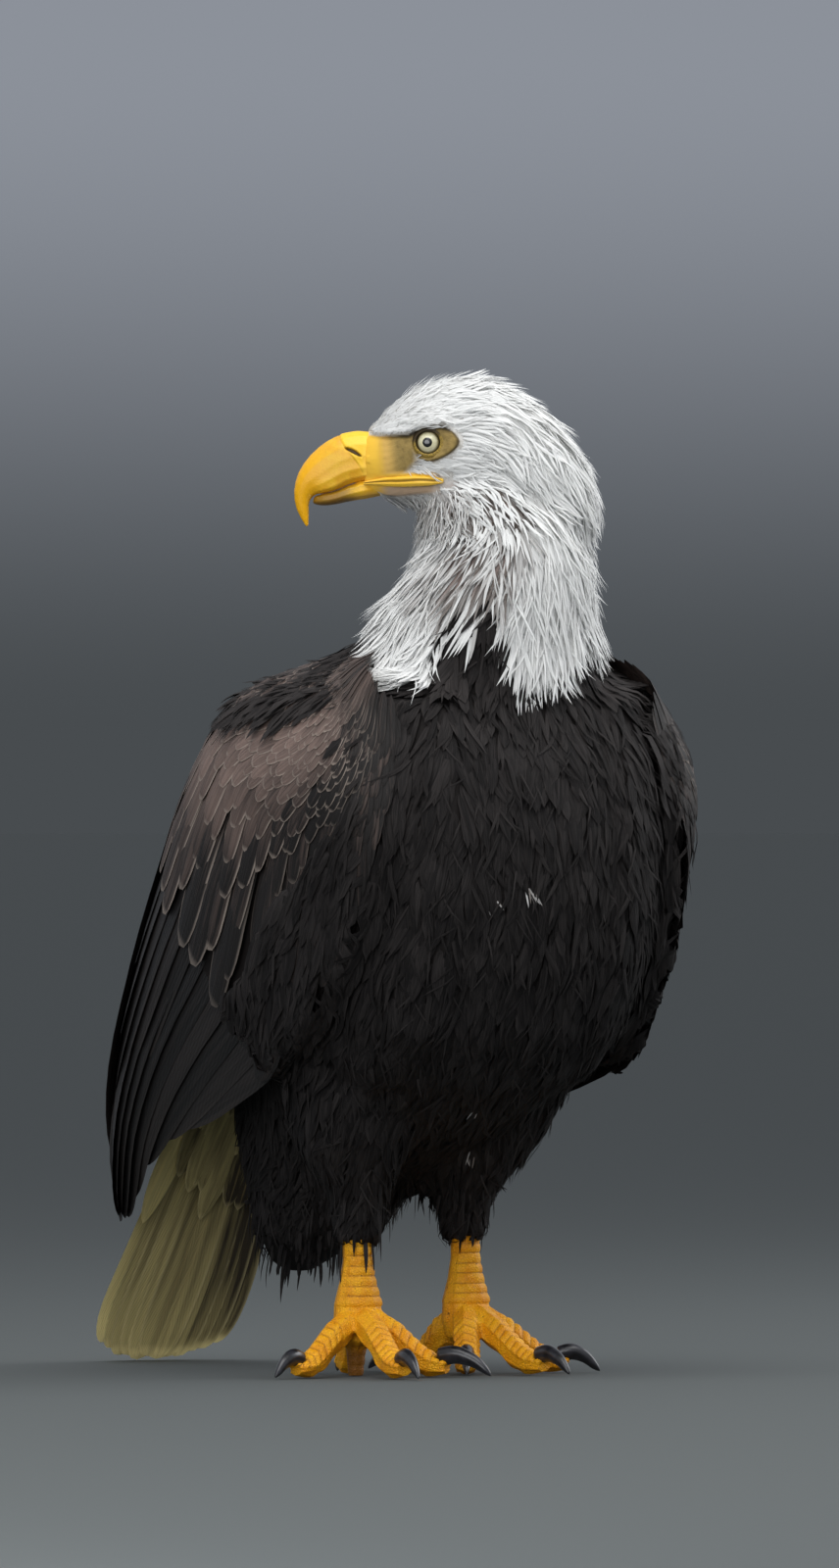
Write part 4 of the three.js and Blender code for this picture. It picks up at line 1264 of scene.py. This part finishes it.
def lid_look():
    made, tree, shader = material("Lid skin", 0.55, specular=0.35)
    out = painted(tree, "out")
    spot = own_place(tree)
    grain = noise(tree, spot, 1100, 4)
    skin_tone = blend(tree, stretch(tree, grain, 0.35, 0.68), rgb(170, 140, 56), rgb(112, 92, 40))
    outer = blend(tree, stretch(tree, out, 0.6, 0.95), skin_tone, rgb(104, 88, 48))
    shaded = blend(tree, painted(tree, "lid_shade"), outer, rgb(44, 34, 22))
    rim = stretch(tree, out, 0.26, 0.14)
    tree.links.new(blend(tree, rim, shaded, rgb(20, 16, 12)), shader.inputs["Base Color"])
    raise_bump(tree, shader, grain, 0.0004)
    return made


EYE_LOOK, LID_LOOK = eye_look(), lid_look()


def swept_ring(name, centre, frame_axes, stations, loop_count=56):
    """A closed ring round an eye. stations are (reach forward, reach up, outward, value) round its cross-section."""
    turn = np.linspace(0, 2 * math.pi, loop_count, endpoint=False)
    section = np.asarray(stations, float)
    local = np.stack([
        np.cos(turn)[:, None] * section[None, :, 0] - 1.3 * ramp(section[None, :, 0], 7.5, 12),
        np.broadcast_to(section[None, :, 2], (loop_count, len(section))),
        np.sin(turn)[:, None] * section[None, :, 1],
    ], -1)
    points = centre + local.reshape(-1, 3) @ frame_axes
    size = len(section)
    i, j = np.meshgrid(np.arange(loop_count), np.arange(size), indexing="ij")
    ni, nj = (i + 1) % loop_count, (j + 1) % size
    faces = np.stack([i * size + j, i * size + nj, ni * size + nj, ni * size + j], -1).reshape(-1, 4)
    mesh = bpy.data.meshes.new(name)
    mesh.from_pydata(to_row(points).tolist(), [], faces.tolist())
    paint(mesh, "out", np.tile(section[:, 3], loop_count))
    ring = bpy.data.objects.new(name, mesh)
    bpy.context.scene.collection.objects.link(ring)
    face_outwards(ring)
    return ring


for side, sign in SIDES.items():
    centre = from_head([[0.0, sign * EYE_APART, 0.0]])[0]
    gaze = math.sin(EYE_SLANT) * FORWARD + sign * math.cos(EYE_SLANT) * LEFTWARD
    ahead = math.cos(EYE_SLANT) * FORWARD - sign * math.sin(EYE_SLANT) * LEFTWARD
    ball, flat = round_blank(f"eyeball_{side}", 48, 32)
    from_axis = np.hypot(flat[:, 0], flat[:, 1]) * EYE_RADIUS
    bulge = 0.6 * ramp(from_axis, 7, 2) * (flat[:, 2] > 0)
    axes = np.array([ahead, UP, gaze])
    if np.linalg.det(axes) < 0:
        flat = flat * np.array([-1, 1, 1])
        ball.data.flip_normals()
    move_vertices(ball.data, centre + (flat * EYE_RADIUS + UP * bulge[:, None]) @ axes)
    front = np.where(flat[:, 2] > 0, from_axis, EYE_RADIUS)
    paint(ball.data, "out", front)
    paint(ball.data, "around", np.abs(np.arctan2(flat[:, 1], flat[:, 0])))
    smooth_shade(ball)
    finish_piece(ball, EYE_LOOK, [f"eye_{side}"])
    lid = swept_ring(f"lid_{side}", centre, np.array([ahead, gaze, UP]), [
        (7.0, 6.5, 5.2, 0.0), (7.4, 6.8, 6.7, 0.1), (8.2, 7.5, 7.5, 0.3), (9.4, 8.5, 7.6, 0.5), (10.8, 9.8, 6.8, 0.75),
        (12.2, 11.0, 5.0, 1.0), (11.8, 10.6, 2.6, 1.0), (9.4, 8.6, 1.6, 0.5), (8.2, 7.4, 3.0, 0.1)])
    forward, _, height = in_head(vertices_of(lid.data)).T
    paint(lid.data, "lid_shade", 0.92 * ramp(height + 0.5 * np.maximum(forward, 0), 2.5, 7.0))
    apply_modifier(lid, "SUBSURF", levels=1, render_levels=1)
    smooth_shade(lid)
    finish_piece(lid, LID_LOOK)

# ---- Feet -----------------------------------------------------------------------------------------

FOOT_VOXEL = 0.85
# Each foot: where its shank stands, the turn of each toe in degrees from straight ahead, and which way is outward.
STANCE = {"right": ([-48, -17], {"inner": -40, "middle": 6, "outer": 66, "hind": 198}, -1),
          "left": ([50, 21], {"inner": -28, "middle": 12, "outer": 60, "hind": 204}, 1)}
# Each toe: its length, its thickness and the reach of its claw.
TOES = {"inner": (61, 8.8, 38), "middle": (77, 8.6, 33), "outer": (65, 8.2, 28), "hind": (48, 8.8, 40)}


def foot_look():
    made, tree, shader = material("Scaly skin", 0.55, specular=0.28, coat=0.05, coat_roughness=0.3)
    groove_and_shade = painted(tree, "groove_and_shade")
    spot = own_place(tree)
    cells = put(tree, "ShaderNodeTexVoronoi", {"Vector": spot, "Scale": 560.0, "Randomness": 0.9},
                feature="DISTANCE_TO_EDGE").outputs["Distance"]
    seam = stretch(tree, cells, 0.0, 0.12, 1.0, 0.0)
    cloud = noise(tree, spot, 90, 5)
    dirt = noise(tree, spot, 520, 4, Roughness=0.7)
    tone = blend(tree, stretch(tree, cloud, 0.3, 0.7), rgb(248, 180, 22), rgb(232, 152, 8))
    seamed = blend(tree, math_node(tree, "MULTIPLY", seam, 0.38), tone, rgb(176, 108, 14))
    # Lines between the plates are darkened, and the ball of the foot gets painted shade with some dust.
    lined = blend(tree, math_node(tree, "MULTIPLY", groove_and_shade, 0.7), seamed, rgb(120, 74, 20))
    speck = math_node(tree, "MULTIPLY", stretch(tree, dirt, 0.61, 0.67), 0.8)
    tree.links.new(blend(tree, speck, lined, rgb(70, 46, 24)), shader.inputs["Base Color"])
    height = math_node(tree, "SUBTRACT", stretch(tree, cells, 0.0, 0.3), math_node(tree, "MULTIPLY", groove_and_shade, 0.5))
    raise_bump(tree, shader, height, 0.0005, 0.6)
    return made


def claw_look():
    made, tree, shader = material("Black claw", 0.32, specular=0.45, coat=0.25, coat_roughness=0.2)
    spot = own_place(tree)
    cloud = noise(tree, spot, 160, 4)
    black = blend(tree, stretch(tree, cloud, 0.3, 0.7), rgb(18, 18, 21), rgb(44, 44, 50))
    tree.links.new(black, shader.inputs["Base Color"])
    raise_bump(tree, shader, cloud, 0.0003)
    return made


FOOT_LOOK, CLAW_LOOK = foot_look(), claw_look()


def sweep_talon(name, stand, ahead, aside, length, thick, reach):
    """A sphere drawn out along the claw's curve: round above, narrower below, and sharp at its point."""
    talon, flat = round_blank(name, 24, 44)
    t = np.arccos(np.clip(flat[:, 2], -1, 1)) / math.pi
    start, rise = length - thick * 0.9, thick * 1.35
    bend = [[start, rise], [start + reach * 0.33, rise + 2.6], [start + reach * 0.64, rise - 0.6],
            [start + reach * 0.87, rise - 6.4], [start + reach, 0.9]]
    curve = rail(bend, t)
    step = unit(rail(bend, t + 0.01) - curve)
    wide = thick * rail([0.54, 0.55, 0.43, 0.27, 0.05], t)[:, 0]
    tall = thick * rail([0.68, 0.66, 0.5, 0.31, 0.05], t)[:, 0]
    ring = np.hypot(flat[:, 0], flat[:, 1])
    cosine, sine = flat[:, 0] / np.maximum(ring, 1e-6), flat[:, 1] / np.maximum(ring, 1e-6)
    full = np.clip(ring * 5, 0, 1)
    across = wide * full * cosine * (1 - 0.25 * np.clip(-sine, 0, 1))
    over = tall * full * sine
    places = stand + ahead * (curve[:, :1] - step[:, 1:] * over[:, None]) + aside * across[:, None]
    places = places + UP * (curve[:, 1] + step[:, 0] * over)[:, None]
    places[:, 2] = np.maximum(places[:, 2], 0.1)
    move_vertices(talon.data, places)
    face_outwards(talon)
    smooth_shade(talon)
    return talon


for side, (stand, turns, outward) in STANCE.items():
    nodes = [f"tarsus_{side}"] + [f"toe_{toe}_{side}" for toe in TOES]
    foot = remeshed(f"foot_{side}", nodes, FOOT_VOXEL, 5)
    places = vertices_of(foot.data)
    normals = normals_of(foot.data)
    x, y, z = places[:, 0] - stand[0], places[:, 1] - stand[1], places[:, 2]
    push = np.full(len(places), -0.35)
    groove_and_shade = np.zeros(len(places))
    best = np.full(len(places), 1e9)
    for toe, (length, thick, _) in TOES.items():
        turn = math.radians(turns[toe]) * outward
        direction = np.array([math.sin(turn), -math.cos(turn)])
        along = x * direction[0] + y * direction[1]
        across = x * -direction[1] + y * direction[0]
        mine = (np.abs(across) < best) & (along > 10)
        best = np.where(mine, np.abs(across), best)
        share = along / length
        # Plates lie across the last two thirds of a toe's top, and pads bulge under its joints.
        phase = along / (5.2 if toe != "hind" else 4.8)
        saw = np.abs(phase - np.round(phase)) * 2
        top = ramp(normals[:, 2], -0.1, 0.35) * ramp(share, 0.3, 0.5)
        line = ramp(saw, 0.24, 0.0) * top
        swell = 1.5 * (saw**0.5) * top
        pads = 1.2 * ramp(-normals[:, 2], 0.1, 0.6) * (0.5 + 0.5 * np.cos(2 * math.pi * (share * 3.0 - 0.92)))
        pads = pads * ramp(z, 1.5, 5)
        knuckle = 0.7 * np.exp(-(((share - 0.9) / 0.1) ** 2)) * ramp(z, 1.5, 6)
        push = np.where(mine, swell + pads + knuckle - 0.9, push)
        groove_and_shade = np.where(mine, line, groove_and_shade)
    # Broad plates run down the front of the shank.
    shank = (best > 1e8) | (z > 45)
    phase = z / 6.4
    saw = np.abs(phase - np.round(phase)) * 2
    front = ramp(-normals[:, 1], 0.1, 0.6)
    push = np.where(shank, 1.0 * saw**0.5 * front - 0.6, push)
    groove_and_shade = np.where(shank, ramp(saw, 0.22, 0.0) * front, groove_and_shade)
    push = np.where(z < 0.6, np.minimum(push, -0.2), push)
    moved = places + normals * push[:, None]
    # The ball of the foot draws in under the roots of the toes.
    hub = 1 - 0.42 * ramp(np.hypot(x, y - 3), 13.5, 11) * ramp(z, 30, 20)
    middle = np.array([stand[0], stand[1] + 5])
    moved[:, :2] = middle + (moved[:, :2] - middle) * hub[:, None]
    moved[:, 2] = np.maximum(moved[:, 2], 0.05)
    move_vertices(foot.data, moved)
    # The ball of the foot under the toes is painted dark, as painted shade with some dust.
    under = ramp(np.hypot(x, y - 3), 15, 11) * ramp(z, 26, 12)
    paint(foot.data, "groove_and_shade", np.maximum(groove_and_shade, 1.3 * under))
    smooth_shade(foot)
    finish_piece(foot, FOOT_LOOK, nodes)
    for toe, (length, thick, reach) in TOES.items():
        turn = math.radians(turns[toe]) * outward
        ahead = np.array([math.sin(turn), -math.cos(turn), 0.0])
        aside = np.array([math.cos(turn), math.sin(turn), 0.0])
        talon = sweep_talon(f"talon_{toe}_{side}", np.array([*stand, 0.0]), ahead, aside, length, thick, reach)
        finish_piece(talon, CLAW_LOOK, [f"claw_{toe}_{side}"])

# ---- The skin's own look --------------------------------------------------------------------------

skin_look, tree, shader = material("Skin under the coat", 0.75, specular=0.2)
white = painted(tree, "white")
bare = painted(tree, "bare")
pink = painted(tree, "pink")
near_bill = painted(tree, "near_bill")
spot = own_place(tree)
mottle = noise(tree, spot, 260, 4)
grain = noise(tree, spot, 1200, 3)
pale = blend(tree, stretch(tree, mottle, 0.35, 0.7), rgb(214, 212, 208), rgb(180, 176, 170))
pale = blend(tree, pink, pale, rgb(146, 130, 124))
under = blend(tree, white, rgb(24, 20, 19), pale)
specks = math_node(tree, "MULTIPLY", stretch(tree, mottle, 0.4, 0.7), 0.5)
lore = blend(tree, specks, rgb(158, 134, 80), rgb(110, 93, 55))
lore = blend(tree, stretch(tree, near_bill, 0.0, 0.55), lore, rgb(222, 180, 98))
lore = blend(tree, stretch(tree, near_bill, 0.5, 1.0), lore, rgb(246, 196, 68))
chin = painted(tree, "chin")
lore = blend(tree, chin, lore, rgb(196, 168, 140))
# Painted shadow under the brow, and the dark outline of the bare skin round the eye.
shade = painted(tree, "brow_shadow_and_outline")
lore = blend(tree, shade, lore, rgb(38, 31, 24))
tree.links.new(blend(tree, bare, under, lore), shader.inputs["Base Color"])
raise_bump(tree, shader, math_node(tree, "MULTIPLY", grain, stretch(tree, near_bill, 0.2, 0.9, 1.0, 0.15)), 0.0005)

places = vertices_of(skin.data)
local = in_head(places)
above = places[:, 2] > BARE_BASE
edge = white_edge(places) - 8
paint(skin.data, "white", np.where(above, 1.0, ramp(places[:, 2], edge - 4, edge + 4)
                                   * (np.hypot(places[:, 0], places[:, 1] + 100) < 125)))
paint(skin.data, "bare", bareness(local) * above)
paint(skin.data, "pink", throat_share(places))
lip = np.exp(-(((local[:, 2] + 21) / 2.6) ** 2)) * 0.9 * ramp(local[:, 0], -12, -4)
paint(skin.data, "near_bill", np.maximum(ramp(local[:, 0] - 0.12 * (local[:, 2] + 8), 16, 37.5), lip))
# The brow's painted shadow on the skin below its overhang, and the dark outline of the bare skin round the eye.
over = local[:, 2] - brow_line(local[:, 0])
under_brow_shadow = np.exp(-(((over + 0.6) / (1.1 + 1.2 * ramp(local[:, 0], 20, 6))) ** 2))
under_brow_shadow = under_brow_shadow * ramp(local[:, 0], 35, 12) * ramp(local[:, 0], -18, -12)
outline = 0.75 * np.exp(-(((almond(local) - 0.98) / 0.10) ** 2)) * ramp(local[:, 0], 9, 3)
paint(skin.data, "brow_shadow_and_outline", np.clip(np.maximum(under_brow_shadow, outline), 0, 0.92))
paint(skin.data, "chin", ramp(local[:, 2], -27, -29) * ramp(local[:, 0], 35, 24))
smooth_shade(skin)
finish_piece(skin, skin_look, ["head"] + BODY_NODES)

# ---- Studio ---------------------------------------------------------------------------------------


def build_floor():
    bpy.ops.mesh.primitive_circle_add(vertices=96, radius=60, fill_type="NGON", location=(0, 0, -0.0002))
    floor = bpy.context.object
    floor.name = "floor"
    look, _, shader = material("Pale floor", 0.9, specular=0.1)
    shader.inputs["Base Color"].default_value = rgb(85, 89, 89)
    floor.data.materials.append(look)


def build_light(name, place, target, size, energy, colour):
    bpy.ops.object.light_add(type="AREA", location=place)
    light = bpy.context.object
    light.name = name
    light.data.shape = "DISK"
    light.data.size = size
    light.data.energy = energy
    light.data.color = colour
    light.rotation_mode = "QUATERNION"
    light.rotation_quaternion = (Vector(target) - Vector(place)).to_track_quat("-Z", "Y")


VIEW_TURN = -FRONT
VIEW_RISE = math.radians(0.2)
VIEW_DISTANCE = 14.0
VIEW_HEIGHT = 0.992  # how many metres the camera takes in along its long side, at the bird
AIM = np.array([-47.8, -99.1, 377.0])


def build_camera():
    back = Vector((math.sin(VIEW_TURN) * math.cos(VIEW_RISE), -math.cos(VIEW_TURN) * math.cos(VIEW_RISE),
                   math.sin(VIEW_RISE)))
    aim = Vector(to_row(AIM))
    bpy.ops.object.camera_add(location=aim + back * VIEW_DISTANCE)
    camera = bpy.context.object
    camera.rotation_mode = "QUATERNION"
    camera.rotation_quaternion = back.to_track_quat("Z", "Y")
    camera.data.sensor_width = 36
    camera.data.lens = 36 * VIEW_DISTANCE / VIEW_HEIGHT
    camera.data.clip_end = 200
    bpy.context.scene.camera = camera


build_floor()
build_light("Sky light", (-0.7, -1.5, 3.4), (0, 0, 0.3), 3.4, 96, (1.0, 0.995, 0.98))
build_light("Front fill", (-2.6, -2.4, 0.62), (0, 0, 0.28), 2.6, 54, (0.97, 0.985, 1.0))
build_light("Far side", (2.8, -0.4, 1.7), (0, 0, 0.35), 2.4, 55, (0.98, 0.99, 1.0))
world = bpy.data.worlds.new("Soft sky")
bpy.context.scene.world = world
world.use_nodes = True
sky = world.node_tree
rise = put(sky, "ShaderNodeSeparateXYZ", {0: put(sky, "ShaderNodeTexCoord").outputs["Generated"]}).outputs["Z"]
haze = blend(sky, stretch(sky, rise, -0.001, 0.03), rgb(72, 76, 79), rgb(140, 145, 154))
overhead = blend(sky, stretch(sky, rise, 0.03, 0.3), haze, rgb(186, 190, 196))
sky.links.new(overhead, sky.nodes["Background"].inputs["Color"])
bpy.context.scene.view_settings.view_transform = "Standard"
build_camera()
